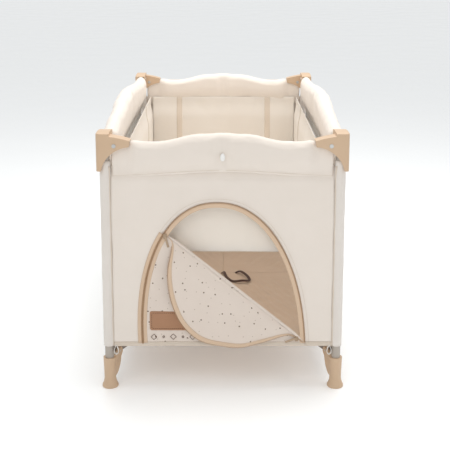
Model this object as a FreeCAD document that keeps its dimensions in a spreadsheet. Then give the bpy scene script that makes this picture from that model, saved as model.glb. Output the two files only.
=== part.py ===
"""Folding travel cot: four upright legs, four folding rails, four bottom arms and a hub, with cloth walls.

X is across the cot, Y is along it, +Z is up. The door end faces -Y. The origin is on the floor, in the middle.
Rigid pieces are made in the corner at -X, -Y and mirrored to the others. Sizes are in millimetres.
"""
import FreeCAD, Part
import math
import os
import re
import Sketcher

doc = FreeCAD.newDocument("travel_cot")

# Driving dimensions: alias, value.
driving = [
    ("cot_width", 680), ("cot_length", 1260), ("cap_overhang", 22),
    ("leg_diameter", 25), ("leg_bottom", 14), ("tube_wall", 1.2), ("slide_fit", 0.1),
    ("end_rail_height", 698), ("side_rail_height", 712), ("rail_diameter", 18),
    ("pin_diameter", 6), ("pin_fit", 0.06), ("rivet_diameter", 11), ("rivet_head", 2.2),
    ("rail_pin_inset", 27), ("latch_half_pitch", 26), ("rail_end_margin", 8),
    ("cap_reach", 71), ("cap_inner_face", 14), ("cap_drop", 75), ("cap_tip_height", 17), ("cap_roof", 19),
    ("cap_lip", 12), ("cap_rise", 29), ("cap_end_fall", 15), ("cap_side_fall", 4), ("cap_corner_round", 10),
    ("cap_top_radius", 330), ("cap_edge_round", 3), ("cap_lip_fall", 24), ("cap_tip_back", 4),
    ("cap_tip_lean", 3), ("cap_arc_extra", 10), ("bore_wall", 1.7), ("channel_gap", 1.5), ("swing_room", 3.6),
    ("foot_base_radius", 23), ("foot_waist_radius", 16.4), ("foot_top_radius", 18), ("foot_height", 88),
    ("foot_waist_height", 30), ("foot_flare_arc", 42), ("fork_root", 30), ("fork_under_arc", 70), ("fork_nose_arc", 30),
    ("fork_top_arc", 9), ("foot_fork_reach", 46), ("foot_fork_width", 30), ("foot_fork_top", 106), ("foot_pin_inset", 34),
    ("arm_height", 95), ("arm_depth", 22), ("arm_width", 12), ("arm_end_margin", 10), ("arm_gap", 0.8),
    ("arm_round", 5),
    ("hub_margin_x", 19), ("hub_margin_y", 19), ("hub_corner", 12), ("hub_top", 115), ("hub_bottom", 78),
    ("arm_swing_room", 16.5), ("hub_pin_length", 28), ("post_base_height", 6),
    ("post_radius", 14), ("post_base_radius", 21), ("post_lift", 0.5), ("loop_length", 76),
    ("loop_width", 30), ("loop_height", 30),
    ("housing_width", 30), ("housing_end", 15), ("housing_roof", 17.5), ("housing_drop", 12),
    ("button_side", 16), ("button_head", 21), ("button_travel", 6), ("button_rise", 8), ("button_wall", 3.5),
    ("stop_start", 9.5), ("stop_gap", 0.3),
    ("cover_wall", 3), ("cover_gap", 0.6), ("cover_end_gap", 2), ("cover_skirt", 605), ("cover_end_rise", 14),
    ("cover_side_rise", 17),
    ("hump_length", 230), ("end_hump", 33), ("side_hump", 50),
    ("cloth", 2), ("panel_bottom", 124), ("panel_top", 612), ("panel_setback", 7), ("sleeve_radius", 14.5), ("door_shift", -8),
    ("sleeve_gap", 0.5), ("door_half_width", 240), ("door_bottom", 133), ("door_crown", 533),
    ("door_fold_left", 170), ("flap_gap", 1), ("slider_width", 9), ("slider_depth", 4), ("slider_length", 30),
    ("window_side", 70), ("window_bottom", 60), ("window_top", 40), ("mesh_thickness", 1),
    ("floor_height", 119), ("floor_margin", 18), ("slit_gap", 4),
    ("tub_margin_x", 60), ("tub_margin_y", 42), ("tub_bottom", 390), ("tub_top", 690),
    ("mattress_gap", 4), ("mattress_height", 26), ("fold_seam", 3),
]
sheet = doc.addObject("Spreadsheet::Sheet", "Dims")
for row, (alias, number) in enumerate(driving, start=1):
    sheet.set(f"A{row}", alias)
    sheet.set(f"B{row}", str(number))
    sheet.setAlias(f"B{row}", alias)
doc.recompute()

aliases = {alias for alias, number in driving}

# Sizes that follow from the driving ones, each worked out from the names above it.
worked_out = {
    "leg_x": "cot_width / 2 - cap_overhang",
    "leg_y": "cot_length / 2 - cap_overhang",
    "pin_reach": "rail_pin_inset + latch_half_pitch",
    "half_end": "leg_x - pin_reach",
    "half_side": "leg_y - pin_reach",
    "arm_length": "sqrt(half_end^2 + half_side^2)",
    "arm_cos": "half_end / arm_length",
    "arm_sin": "half_side / arm_length",
    "hub_pin_x": "pin_reach - foot_pin_inset * arm_cos",
    "hub_pin_y": "pin_reach - foot_pin_inset * arm_sin",
    "outer_x": "cot_width / 2",
    "outer_y": "cot_length / 2",
    "cover_half": "housing_width / 2 + cover_gap + cover_wall",
    "panel_y": "leg_y + panel_setback",
    "panel_side": "leg_x + panel_setback",
    "door_center": "door_crown - door_half_width",
    "tub_width": "cot_width - tub_margin_x * 2",
    "tub_length": "cot_length - tub_margin_y * 2",
}


def expand(text):
    """The expression with every worked-out name opened and every alias pointing at the sheet."""
    def swap(found):
        word = found.group(0)
        if word in worked_out:
            return "(" + expand(worked_out[word]) + ")"
        return "Dims." + word if word in aliases else word
    return re.sub(r"[a-z][a-z_]+", swap, str(text))


def size(text):
    """The value of an expression, as a plain number."""
    found = sheet.evalExpression(expand(text))
    return float(getattr(found, "Value", found))


def bind(obj, **settings):
    for name, text in settings.items():
        obj.setExpression(name.replace("__", "."), expand(text))


def label(obj, name):
    obj.Label = name
    return obj


def box(name, x, y, z):
    """A box between two expressions along each axis."""
    made = doc.addObject("Part::Box", name)
    bind(made, Length=f"({x[1]}) - ({x[0]})", Width=f"({y[1]}) - ({y[0]})", Height=f"({z[1]}) - ({z[0]})",
         Placement__Base__x=x[0], Placement__Base__y=y[0], Placement__Base__z=z[0])
    return made


def cylinder(name, radius, length, x, y, z, axis="z", angle=None):
    """A cylinder that starts at x, y, z and runs along the axis, turned about Z by an angle if one is given."""
    made = doc.addObject("Part::Cylinder", name)
    turns = {"z": (FreeCAD.Vector(0, 0, 1), 0), "x": (FreeCAD.Vector(0, 1, 0), 90), "y": (FreeCAD.Vector(1, 0, 0), -90)}
    made.Placement.Rotation = FreeCAD.Rotation(*turns[axis])
    bind(made, Radius=radius, Height=length, Placement__Base__x=x, Placement__Base__y=y, Placement__Base__z=z)
    return made


def cut(name, base, *tools):
    for number, tool in enumerate(tools):
        made = doc.addObject("Part::Cut", name if number == len(tools) - 1 else f"{name}_{number}")
        made.Base, made.Tool = base, tool
        base = made
    return made


def fuse(name, *pieces):
    made = doc.addObject("Part::MultiFuse", name)
    made.Shapes = list(pieces)
    return made


def group(name, *pieces):
    """Separate solids that share one node."""
    made = doc.addObject("Part::Compound", name)
    made.Links = list(pieces)
    return made


def mirrored(source, name, across):
    """The same piece on the other side of the cot: across is x or y."""
    made = doc.addObject("Part::Mirroring", name)
    made.Source = source
    made.Normal = FreeCAD.Vector(1, 0, 0) if across == "x" else FreeCAD.Vector(0, 1, 0)
    return label(made, name)


def rounded(name, source, radius, chosen):
    """Fillets on the edges of a finished piece that the test picks out."""
    doc.recompute()
    made = doc.addObject("Part::Fillet", name)
    made.Base = source
    number = size(radius)
    made.Edges = [(n, number, number) for n, edge in enumerate(source.Shape.Edges, start=1) if chosen(edge)]
    return made


def newBody(name):
    body = doc.addObject("PartDesign::Body", name)
    return label(body, name)


def plane(body, role):
    return next(o for o in body.Origin.OriginFeatures if o.Role == role)


def sketch(body, name, role, offset, corners, arcs=None):
    """A closed outline through the corners, each held by two expressions.

    arcs gives, for the side that starts at a corner's number, the radius and which side it bulges to (1 or -1).
    """
    arcs = arcs or {}
    made = body.newObject("Sketcher::SketchObject", name)
    made.AttachmentSupport = [(plane(body, role), "")]
    made.MapMode = "FlatFace"
    made.setExpression("AttachmentOffset.Base.z", expand(offset))
    places = [FreeCAD.Vector(size(across), size(up), 0) for across, up in corners]
    for number, start in enumerate(places):
        end = places[(number + 1) % len(places)]
        if number in arcs:
            radius, side = arcs[number]
            half = (end - start) * 0.5
            away = FreeCAD.Vector(-half.y, half.x, 0).normalize() * side
            depth = math.sqrt(max(size(radius) ** 2 - half.Length ** 2, 0))
            center = start + half - away * depth
            first, last = (start, end) if side < 0 else (end, start)
            low, high = (math.atan2(p.y - center.y, p.x - center.x) for p in (first, last))
            whole = Part.Circle(center, FreeCAD.Vector(0, 0, 1), size(radius))
            made.addGeometry(Part.ArcOfCircle(whole, low, high), False)
        else:
            made.addGeometry(Part.LineSegment(start, end), False)
    ends = []
    for number, start in enumerate(places):
        piece = made.Geometry[number]
        forward = (piece.StartPoint - start).Length < (piece.EndPoint - start).Length
        ends.append((1, 2) if forward else (2, 1))
    for number in range(len(places)):
        following = (number + 1) % len(places)
        made.addConstraint(Sketcher.Constraint("Coincident", number, ends[number][1], following, ends[following][0]))
    for number, (across, up) in enumerate(corners):
        point = ends[number][0]
        for kind, text, value in (("DistanceX", across, places[number].x), ("DistanceY", up, places[number].y)):
            index = made.addConstraint(Sketcher.Constraint(kind, -1, 1, number, point, value))
            made.setExpression(f"Constraints[{index}]", expand(text))
    for number, (radius, side) in arcs.items():
        index = made.addConstraint(Sketcher.Constraint("Radius", number, size(radius)))
        made.setExpression(f"Constraints[{index}]", expand(radius))
    return made


def circles(body, name, role, offset, rounds):
    made = body.newObject("Sketcher::SketchObject", name)
    made.AttachmentSupport = [(plane(body, role), "")]
    made.MapMode = "FlatFace"
    made.setExpression("AttachmentOffset.Base.z", expand(offset))
    for number, (across, up, radius) in enumerate(rounds):
        center = FreeCAD.Vector(size(across), size(up), 0)
        made.addGeometry(Part.Circle(center, FreeCAD.Vector(0, 0, 1), size(radius)), False)
        for kind, text, value in (("DistanceX", across, center.x), ("DistanceY", up, center.y)):
            index = made.addConstraint(Sketcher.Constraint(kind, -1, 1, number, 3, value))
            made.setExpression(f"Constraints[{index}]", expand(text))
        index = made.addConstraint(Sketcher.Constraint("Radius", number, size(radius)))
        made.setExpression(f"Constraints[{index}]", expand(radius))
    return made


def pad(body, name, profile, length, reverse=False, middle=False):
    made = body.newObject("PartDesign::Pad", name)
    made.Profile = profile
    made.Reversed = reverse
    if middle:
        made.Midplane = True
    made.setExpression("Length", expand(length))
    body.Tip = made
    return made


def pocket(body, name, profile, length, reverse=False, middle=False):
    doc.recompute()
    before = body.Shape.Volume
    made = body.newObject("PartDesign::Pocket", name)
    made.Profile = profile
    made.Reversed = reverse
    if middle:
        made.Midplane = True
    made.setExpression("Length", expand(length))
    body.Tip = made
    doc.recompute()
    if body.Shape.Volume > before - 1:
        raise ValueError(f"{name} cuts nothing")
    return made


def fillet(body, name, radius, chosen):
    """Rounds the edges of the body so far that the test picks out."""
    doc.recompute()
    base = body.Tip
    names = [f"Edge{n}" for n, edge in enumerate(base.Shape.Edges, start=1) if chosen(edge)]
    made = body.newObject("PartDesign::Fillet", name)
    made.Base = (base, names)
    made.setExpression("Radius", expand(radius))
    body.Tip = made
    doc.recompute()
    return made


def tube(name, radius, wall, length, x, y, z, axis):
    """A round tube, from its outer radius and wall."""
    outer = cylinder(f"{name}_outer", radius, length, x, y, z, axis)
    inner = cylinder(f"{name}_inner", f"({radius}) - ({wall})", length, x, y, z, axis)
    return cut(f"{name}_tube", outer, inner)


pinHole = "pin_diameter / 2 + pin_fit"


# Leg: an upright tube, from inside the foot to inside the cap.
def makeLeg():
    made = tube("leg", "leg_diameter / 2", "tube_wall", "side_rail_height - leg_bottom",
                "-leg_x", "-leg_y", "leg_bottom", "z")
    return label(made, "leg_front_left")


# Foot: a turned boot with a fork that carries the pin of the bottom arm. It is drawn about the leg's axis,
# with the fork along its own X, and turned to point along the arm.
def makeFoot():
    body = newBody("foot_front_left")
    boot = sketch(body, "foot_outline", "XZ_Plane", "0", [
        ("0", "0"), ("foot_base_radius - 1.5", "0"), ("foot_base_radius", "2"), ("foot_base_radius - 0.6", "7"),
        ("foot_waist_radius", "foot_waist_height"), ("foot_top_radius", "foot_height"), ("0", "foot_height")],
        {3: ("foot_flare_arc", 1)})
    turned = body.newObject("PartDesign::Revolution", "foot_boot")
    turned.Profile = boot
    turned.ReferenceAxis = (boot, ["V_Axis"])
    turned.Angle = 360
    body.Tip = turned
    doc.recompute()
    fork = sketch(body, "foot_fork_outline", "XZ_Plane", "0", [
        ("2", "fork_root"), ("foot_waist_radius - 2", "fork_root + 4"), ("foot_fork_reach - 10", "arm_height - 21"),
        ("foot_fork_reach", "arm_height - 8"), ("foot_fork_reach - 3", "foot_fork_top - 5"),
        ("foot_fork_reach - 10", "foot_fork_top"), ("2", "foot_fork_top - 14")],
        {1: ("fork_under_arc", -1), 3: ("fork_nose_arc", -1), 4: ("fork_top_arc", -1)})
    pad(body, "foot_fork", fork, "foot_fork_width", middle=True)
    slot = sketch(body, "foot_slot_outline", "XZ_Plane", "0", [
        ("foot_top_radius + 0.2", "arm_height - 19"), ("foot_fork_reach + 5", "arm_height - 19"),
        ("foot_fork_reach + 5", "foot_fork_top + 5"), ("foot_top_radius + 0.2", "foot_fork_top + 5")])
    pocket(body, "foot_slot", slot, "arm_width + arm_gap * 2", middle=True)
    bore = circles(body, "foot_bore_outline", "XY_Plane", "leg_bottom", [("0", "0", "leg_diameter / 2 + slide_fit")])
    pocket(body, "foot_bore", bore, "foot_fork_top", reverse=True)
    pin = circles(body, "foot_pin_outline", "XZ_Plane", "0", [("foot_pin_inset", "arm_height", pinHole)])
    pocket(body, "foot_pin_hole", pin, "foot_fork_width + 10", middle=True)
    reach = size("foot_fork_width / 2")
    fillet(body, "foot_soft_edges", "2.5", lambda edge: abs(abs(edge.CenterOfMass.y) - reach) < 0.01
           and edge.CenterOfMass.x > size("foot_top_radius") and edge.Length > 8
           and edge.Curve.TypeId != "Part::GeomCircle")
    body.Placement.Rotation = FreeCAD.Rotation(FreeCAD.Vector(0, 0, 1), 60)
    bind(body, Placement__Base__x="-leg_x", Placement__Base__y="-leg_y",
         Placement__Rotation__Angle="atan2(half_side; half_end)")
    return body


# Corner cap: an L of two hollow wings, open below, over the leg's top. Each wing is an outline with a convex top,
# a short tip and a hollow lower edge that sweeps down to a lip outside the leg.
def wingOutline(start, tip, top, fall, lip):
    low = f"{top} - cap_drop - cap_lip_fall"
    return [(start, low), (lip, low), (tip, f"{top} - {fall} - cap_tip_height"), (f"{tip} + cap_tip_lean", f"{top} - {fall}"),
            (start, top)]


def makeCap():
    body = newBody("cap_front_left")
    endTop, sideTop = "(end_rail_height + cap_rise)", "(side_rail_height + cap_roof)"
    hollow = ("cap_drop + cap_arc_extra", 1)
    arcs = {1: hollow, 3: ("cap_top_radius", -1)}
    end = sketch(body, "cap_end_outline", "XZ_Plane", "leg_y - cap_inner_face", wingOutline(
        "-outer_x", "-leg_x + cap_reach - cap_tip_back", endTop, "cap_end_fall", "-outer_x + cap_lip"), arcs)
    pad(body, "cap_end_wing", end, "cap_overhang + cap_inner_face")
    side = sketch(body, "cap_side_outline", "YZ_Plane", "-outer_x", wingOutline(
        "-outer_y", "-leg_y + cap_reach - cap_tip_back", sideTop, "cap_side_fall", "-outer_y + cap_lip"), arcs)
    pad(body, "cap_side_wing", side, "cap_overhang + cap_inner_face")
    # under the hollow lower edges only the lip outside the leg stays
    for name, role, offset, lip, tip, top, fall in (
            ("cap_end_underside", "XZ_Plane", "leg_y - cap_inner_face", "-outer_x + cap_lip", "-leg_x + cap_reach - cap_tip_back",
             endTop, "cap_end_fall"),
            ("cap_side_underside", "YZ_Plane", "-outer_x", "-outer_y + cap_lip", "-leg_y + cap_reach - cap_tip_back",
             sideTop, "cap_side_fall")):
        low = f"{top} - cap_drop - cap_lip_fall"
        under = sketch(body, f"{name}_outline", role, offset, [
            (lip, f"{low} - 20"), (lip, low), (tip, f"{top} - {fall} - cap_tip_height"), (tip, f"{low} - 20")],
            {1: hollow})
        pocket(body, name, under, "cap_overhang + cap_inner_face", reverse=True)
    half = "(rail_diameter / 2 + channel_gap)"
    near, far = "leg_diameter / 2 + bore_wall", "cap_reach + cap_lip"
    roof = "rail_diameter / 2 + swing_room"
    ends = sketch(body, "cap_end_channel_outline", "YZ_Plane", f"-leg_x + {near}", [
        (f"-leg_y - {half}", f"end_rail_height + {roof}"), (f"-leg_y + {half}", f"end_rail_height + {roof}"),
        (f"-leg_y + {half}", "end_rail_height - cap_drop - 40"), (f"-leg_y - {half}", "end_rail_height - cap_drop - 40")])
    pocket(body, "cap_end_channel", ends, far, reverse=True)
    sides = sketch(body, "cap_side_channel_outline", "XZ_Plane", f"leg_y - ({near})", [
        (f"-leg_x - {half}", f"side_rail_height + {roof}"), (f"-leg_x + {half}", f"side_rail_height + {roof}"),
        (f"-leg_x + {half}", "side_rail_height - cap_drop - 40"), (f"-leg_x - {half}", "side_rail_height - cap_drop - 40")])
    pocket(body, "cap_side_channel", sides, far)
    bore = circles(body, "cap_bore_outline", "XY_Plane", "side_rail_height", [
        ("-leg_x", "-leg_y", "leg_diameter / 2 + slide_fit")])
    pocket(body, "cap_bore", bore, "cap_drop + 60")
    endPin = circles(body, "cap_end_pin_outline", "XZ_Plane", "leg_y", [
        ("-leg_x + rail_pin_inset", "end_rail_height", pinHole)])
    pocket(body, "cap_end_pin_hole", endPin, "cap_overhang * 4", middle=True)
    sidePin = circles(body, "cap_side_pin_outline", "YZ_Plane", "-leg_x", [
        ("-leg_y + rail_pin_inset", "side_rail_height", pinHole)])
    pocket(body, "cap_side_pin_hole", sidePin, "cap_overhang * 4", middle=True)
    outerX, outerY = size("-outer_x"), size("-outer_y")
    fillet(body, "cap_corner_edge", "cap_corner_round", lambda edge: abs(edge.CenterOfMass.x - outerX) < 0.01
           and abs(edge.CenterOfMass.y - outerY) < 0.01)
    low = size("end_rail_height")
    fillet(body, "cap_rim", "cap_edge_round", lambda edge: edge.CenterOfMass.z > low
           and edge.Length > 40 and (abs(edge.CenterOfMass.x - outerX) < 0.01 or abs(edge.CenterOfMass.y - outerY) < 0.01))
    return body


# Rivets of one corner: the two rail pins in the cap and the arm's pin in the foot, each with two flat heads.
def rivet(name, length, x, y, z, axis):
    """A pin with a head at each end; x, y, z is its middle."""
    back = f"-(({length}) / 2)"
    shift = {"x": (back, "0"), "y": ("0", back)}[axis]
    pieces = [cylinder(f"{name}_pin", "pin_diameter / 2", length, f"{x} + {shift[0]}", f"{y} + {shift[1]}", z, axis)]
    for number, end in enumerate((f"-(({length}) / 2) - rivet_head", f"({length}) / 2")):
        step = {"x": (end, "0"), "y": ("0", end)}[axis]
        pieces.append(cylinder(f"{name}_head_{number}", "rivet_diameter / 2", "rivet_head",
                               f"{x} + {step[0]}", f"{y} + {step[1]}", z, axis))
    return fuse(f"{name}_rivet", *pieces)


def crossPin(name, radius, length, middle, sx, sy):
    """A cylinder that lies level across the arm of one corner, about its own middle."""
    made = doc.addObject("Part::Cylinder", name)
    made.Placement.Rotation = FreeCAD.Rotation(FreeCAD.Vector(1, 1, 0), 90)
    bind(made, Radius=radius, Height=length, Placement__Base__x=f"{middle[0]} + {sy} * arm_sin * ({length}) / 2",
         Placement__Base__y=f"{middle[1]} - {sx} * arm_cos * ({length}) / 2", Placement__Base__z="arm_height",
         Placement__Rotation__Axis__x=f"-{sx} * arm_cos", Placement__Rotation__Axis__y=f"-{sy} * arm_sin")
    return made


def makeRivets():
    thick = "cap_overhang + cap_inner_face"
    middle = "(cap_inner_face - cap_overhang) / 2"
    pieces = [
        rivet("end_pin", thick, "-leg_x + rail_pin_inset", f"-leg_y + {middle}", "end_rail_height", "y"),
        rivet("side_pin", thick, f"-leg_x + {middle}", "-leg_y + rail_pin_inset", "side_rail_height", "x"),
        crossPin("foot_pin", "pin_diameter / 2", "foot_fork_width",
                 ("-leg_x + foot_pin_inset * arm_cos", "-leg_y + foot_pin_inset * arm_sin"), 1, 1),
    ]
    return label(group("rivets", *pieces), "rivets_front_left")


def softRectangle(across, up, radius):
    """Corners and arcs of a rectangle about the middle, from its half sizes, with rounded corners."""
    x, y, inX, inY = f"({across})", f"({up})", f"({across} - {radius})", f"({up} - {radius})"
    corners = [(f"-{inX}", f"-{y}"), (inX, f"-{y}"), (x, f"-{inY}"), (x, inY),
               (inX, y), (f"-{inX}", y), (f"-{x}", inY), (f"-{x}", f"-{inY}")]
    return corners, {number: (radius, -1) for number in (1, 3, 5, 7)}


# Bottom arm: a flat tube with round edges, drilled at both ends. It is drawn along its own X from the foot's pin.
def makeArm():
    body = newBody("arm_front_left")
    outer = softRectangle("arm_width / 2", "arm_depth / 2", "arm_round")
    inner = softRectangle("arm_width / 2 - tube_wall", "arm_depth / 2 - tube_wall", "(arm_round - tube_wall)")
    pad(body, "arm_bar", sketch(body, "arm_outline", "YZ_Plane", "-arm_end_margin", *outer),
        "arm_length + arm_end_margin * 2")
    pocket(body, "arm_hollow", sketch(body, "arm_hollow_outline", "YZ_Plane", "-arm_end_margin", *inner),
           "arm_length + arm_end_margin * 2", reverse=True)
    holes = circles(body, "arm_hole_outline", "XZ_Plane", "0", [("0", "0", pinHole), ("arm_length", "0", pinHole)])
    pocket(body, "arm_holes", holes, "arm_width * 2", middle=True)
    body.Placement.Rotation = FreeCAD.Rotation(FreeCAD.Vector(0, 0, 1), 60)
    bind(body, Placement__Base__x="-leg_x + foot_pin_inset * arm_cos",
         Placement__Base__y="-leg_y + foot_pin_inset * arm_sin", Placement__Base__z="arm_height",
         Placement__Rotation__Angle="atan2(half_side; half_end)")
    return body


# Half rails: a round tube from the cap's pin to the latch's pin, drilled for both.
def makeEndRail():
    radius = "rail_diameter / 2"
    start = "-leg_x + rail_pin_inset"
    bar = tube("end_rail", radius, "tube_wall", "half_end + rail_end_margin * 2",
               f"{start} - rail_end_margin", "-leg_y", "end_rail_height", "x")
    holes = [cylinder(f"end_rail_hole_{n}", pinHole, "rail_diameter * 2", x, "-leg_y - rail_diameter",
                      "end_rail_height", "y") for n, x in enumerate((start, "-latch_half_pitch"))]
    return label(cut("end_rail", bar, *holes), "end_rail_front_left")


def makeSideRail():
    radius = "rail_diameter / 2"
    start = "-leg_y + rail_pin_inset"
    bar = tube("side_rail", radius, "tube_wall", "half_side + rail_end_margin * 2", "-leg_x",
               f"{start} - rail_end_margin", "side_rail_height", "y")
    holes = [cylinder(f"side_rail_hole_{n}", pinHole, "rail_diameter * 2", "-leg_x - rail_diameter", y,
                      "side_rail_height", "x") for n, y in enumerate((start, "-latch_half_pitch"))]
    return label(cut("side_rail", bar, *holes), "side_rail_front_left")


# Latch housing in the middle of a rail: a channel open upwards, because the rail halves swing up in it as the rail
# folds, with a lip under each rail that stops it when straight. A block between them guides the release button.
# along is the rail's own axis, x or y.
def oriented(along, place, run, thick, high):
    """Box ranges from ranges along the rail, across it and up, for a rail whose axis is place from the middle."""
    across = (f"-{place} + ({thick[0]})", f"-{place} + ({thick[1]})")
    return (run, across, high) if along == "x" else (across, run, high)


def makeLatch(name, along, place, height):
    half, reach = "housing_width / 2", "latch_half_pitch + housing_end"
    gap = "(rail_diameter / 2 + channel_gap / 2)"
    block = box(f"{name}_block", *oriented(along, place, (f"-({reach})", reach), (f"-{half}", half),
                                           (f"{height} - housing_drop", f"{height} + housing_roof")))
    shell = rounded(f"{name}_shell", block, "cap_edge_round",
                    lambda edge: edge.CenterOfMass.z > size(f"{height} + housing_roof") - 0.01)
    core = "(button_side / 2 + button_wall)"
    lip = "(latch_half_pitch + stop_start)"
    bottom, top = f"{height} - housing_drop - 1", f"{height} + housing_roof + 1"
    stop = f"{height} - rail_diameter / 2 - stop_gap"
    ends = ((f"-{lip}", f"-{core}", bottom), (core, lip, bottom),
            (f"-({reach}) - 1", f"-{lip} + 0.1", stop), (f"{lip} - 0.1", f"{reach} + 1", stop))
    pieces = [box(f"{name}_channel_{number}", *oriented(along, place, (low, high), (f"-{gap}", gap), (floor, top)))
              for number, (low, high, floor) in enumerate(ends)]
    side = "(button_side / 2 + 0.2)"
    pieces.append(box(f"{name}_guide", *oriented(
        along, place, (f"-{side}", side), (f"-{side}", side),
        (f"{height} - housing_drop - 1", f"{height} - housing_drop + button_rise + button_travel + 1"))))
    across = "y" if along == "x" else "x"
    pins = []
    for number, where in enumerate(("-latch_half_pitch", "latch_half_pitch")):
        low = f"-{place} - {half}"
        spot = (where, low) if along == "x" else (low, where)
        pieces.append(cylinder(f"{name}_hole_{number}", pinHole, "housing_width", *spot, height, across))
        spot = (where, f"{low} + 0.5") if along == "x" else (f"{low} + 0.5", where)
        pins.append(cylinder(f"{name}_pin_{number}", "pin_diameter / 2", "housing_width - 1", *spot, height, across))
    housing = cut(f"{name}_housing", shell, *pieces)
    post, head = "button_side / 2", "button_head / 2"
    button = fuse(f"{name}_button",
                  box(f"{name}_post", *oriented(along, place, (f"-{post}", post), (f"-{post}", post), (
                      f"{height} - housing_drop - button_travel - 2", f"{height} - housing_drop + button_rise"))),
                  box(f"{name}_head", *oriented(along, place, (f"-{head}", head), (f"-{head}", head), (
                      f"{height} - housing_drop - button_travel - 5",
                      f"{height} - housing_drop - button_travel - 0.5"))))
    return housing, group(f"{name}_pins", *pins), button


# Hub: a rounded block with four slots that open down and outwards, one for each arm, and a support foot.
quadrants = ((-1, -1), (1, -1), (1, 1), (-1, 1))


def hubPin(sx, sy):
    return f"{sx} * hub_pin_x", f"{sy} * hub_pin_y"


def makeHub():
    body = newBody("hub_casting")
    across, along = "(hub_pin_x + hub_margin_x)", "(hub_pin_y + hub_margin_y)"
    block = sketch(body, "hub_outline", "XY_Plane", "hub_bottom", *softRectangle(across, along, "hub_corner"))
    pad(body, "hub_block", block, "hub_top - hub_bottom")
    post = circles(body, "hub_post_outline", "XY_Plane", "post_lift", [("0", "0", "post_radius")])
    pad(body, "hub_post", post, "hub_bottom")
    base = circles(body, "hub_base_outline", "XY_Plane", "post_lift", [("0", "0", "post_base_radius")])
    pad(body, "hub_base", base, "post_base_height")
    fillet(body, "hub_top_edge", "cap_edge_round", lambda edge: abs(edge.CenterOfMass.z - size("hub_top")) < 0.01)
    back, half = "(arm_end_margin + 6.2)", "(arm_width / 2 + arm_gap)"
    tools = []
    for number, (sx, sy) in enumerate(quadrants):
        x, y = hubPin(sx, sy)
        slot = doc.addObject("Part::Box", f"hub_slot_{number}")
        slot.Placement.Rotation = FreeCAD.Rotation(FreeCAD.Vector(0, 0, 1), 60)
        bind(slot, Length=f"{back} * 6", Width=f"2 * {half}", Height="arm_height + arm_swing_room - hub_bottom + 1",
             Placement__Base__x=f"{x} - {sx} * arm_cos * {back} + {sy} * arm_sin * {half}",
             Placement__Base__y=f"{y} - {sy} * arm_sin * {back} - {sx} * arm_cos * {half}",
             Placement__Base__z="hub_bottom - 1",
             Placement__Rotation__Angle=f"atan2({sy} * half_side; {sx} * half_end)")
        tools += [slot, crossPin(f"hub_hole_{number}", pinHole, "hub_pin_length", (x, y), sx, sy)]
    return label(cut("hub_cut", body, *tools), "hub")


def makeHubPins():
    pins = [crossPin(f"hub_pin_{n}", "pin_diameter / 2", "hub_pin_length - 1", hubPin(sx, sy), sx, sy)
            for n, (sx, sy) in enumerate(quadrants)]
    return label(group("hub_pins_group", *pins), "hub_pins")


# Webbing loop that lifts the hub: a flat strap that stands up through the slit in the floor.
def makeLoop():
    side, strap = "loop_length / 2", "loop_width / 2"
    top = "floor_height + loop_height"
    outer = box("loop_outer", (f"-{side}", side), (f"-{strap}", strap), ("hub_top", top))
    inner = box("loop_inner", (f"-{side} + cloth", f"{side} - cloth"), (f"-{strap} - 1", f"{strap} + 1"),
                ("hub_top - 1", f"{top} - cloth"))
    return label(cut("loop", outer, inner), "hub_pull_loop")


# Padded rail cover: a long inverted channel over a rail and its latch, with a hump over the latch.
def makeCover(name, along, place, height, rise, hump, span):
    half, inner = "cover_half", "(cover_half - cover_wall)"
    end = f"({span} - cap_reach - cover_end_gap)"
    reach = "(latch_half_pitch + housing_end + cover_gap * 2)"
    pieces = [
        box(f"{name}_long", *oriented(along, place, (f"-{end}", end), (f"-{half}", half),
                                      ("cover_skirt", f"{height} + {rise}"))),
        box(f"{name}_hump", *oriented(along, place, ("-hump_length / 2", "hump_length / 2"), (f"-{half}", half),
                                      ("cover_skirt", f"{height} + {hump}"))),
    ]
    hollows = [
        box(f"{name}_rail_room", *oriented(along, place, (f"-{end} - 1", f"{end} + 1"), (f"-{inner}", inner), (
            "cover_skirt - 1", f"{height} + rail_diameter / 2 + cover_gap"))),
        box(f"{name}_latch_room", *oriented(along, place, (f"-{reach}", reach), (f"-{inner}", inner), (
            "cover_skirt - 1", f"{height} + housing_roof + cover_gap"))),
    ]
    return cut(name, fuse(f"{name}_solid", *pieces), *hollows)


# Cloth walls. The door end has an arched door; the part of it below the fold stays zipped in place, so only the
# rest is open, and that rest is the flap, folded out about the line between the fold's two ends.
foldPoints = {
    "left_x": "(door_shift - door_fold_left)",
    "left_z": "(door_center + sqrt(door_half_width^2 - door_fold_left^2))",
    "right_x": "(door_shift + door_half_width)",
    "right_z": "door_bottom",
}


def foldedOver(x, z):
    """The place of a point of the door once it is folded over the line between the fold's ends."""
    left, right = (foldPoints["left_x"], foldPoints["left_z"]), (foldPoints["right_x"], foldPoints["right_z"])
    runX, runZ = f"({right[0]} - {left[0]})", f"({right[1]} - {left[1]})"
    share = f"((({x} - {left[0]}) * {runX} + ({z} - {left[1]}) * {runZ}) / ({runX}^2 + {runZ}^2))"
    return f"2 * ({left[0]} + {share} * {runX}) - {x}", f"2 * ({left[1]} + {share} * {runZ}) - {z}"


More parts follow.
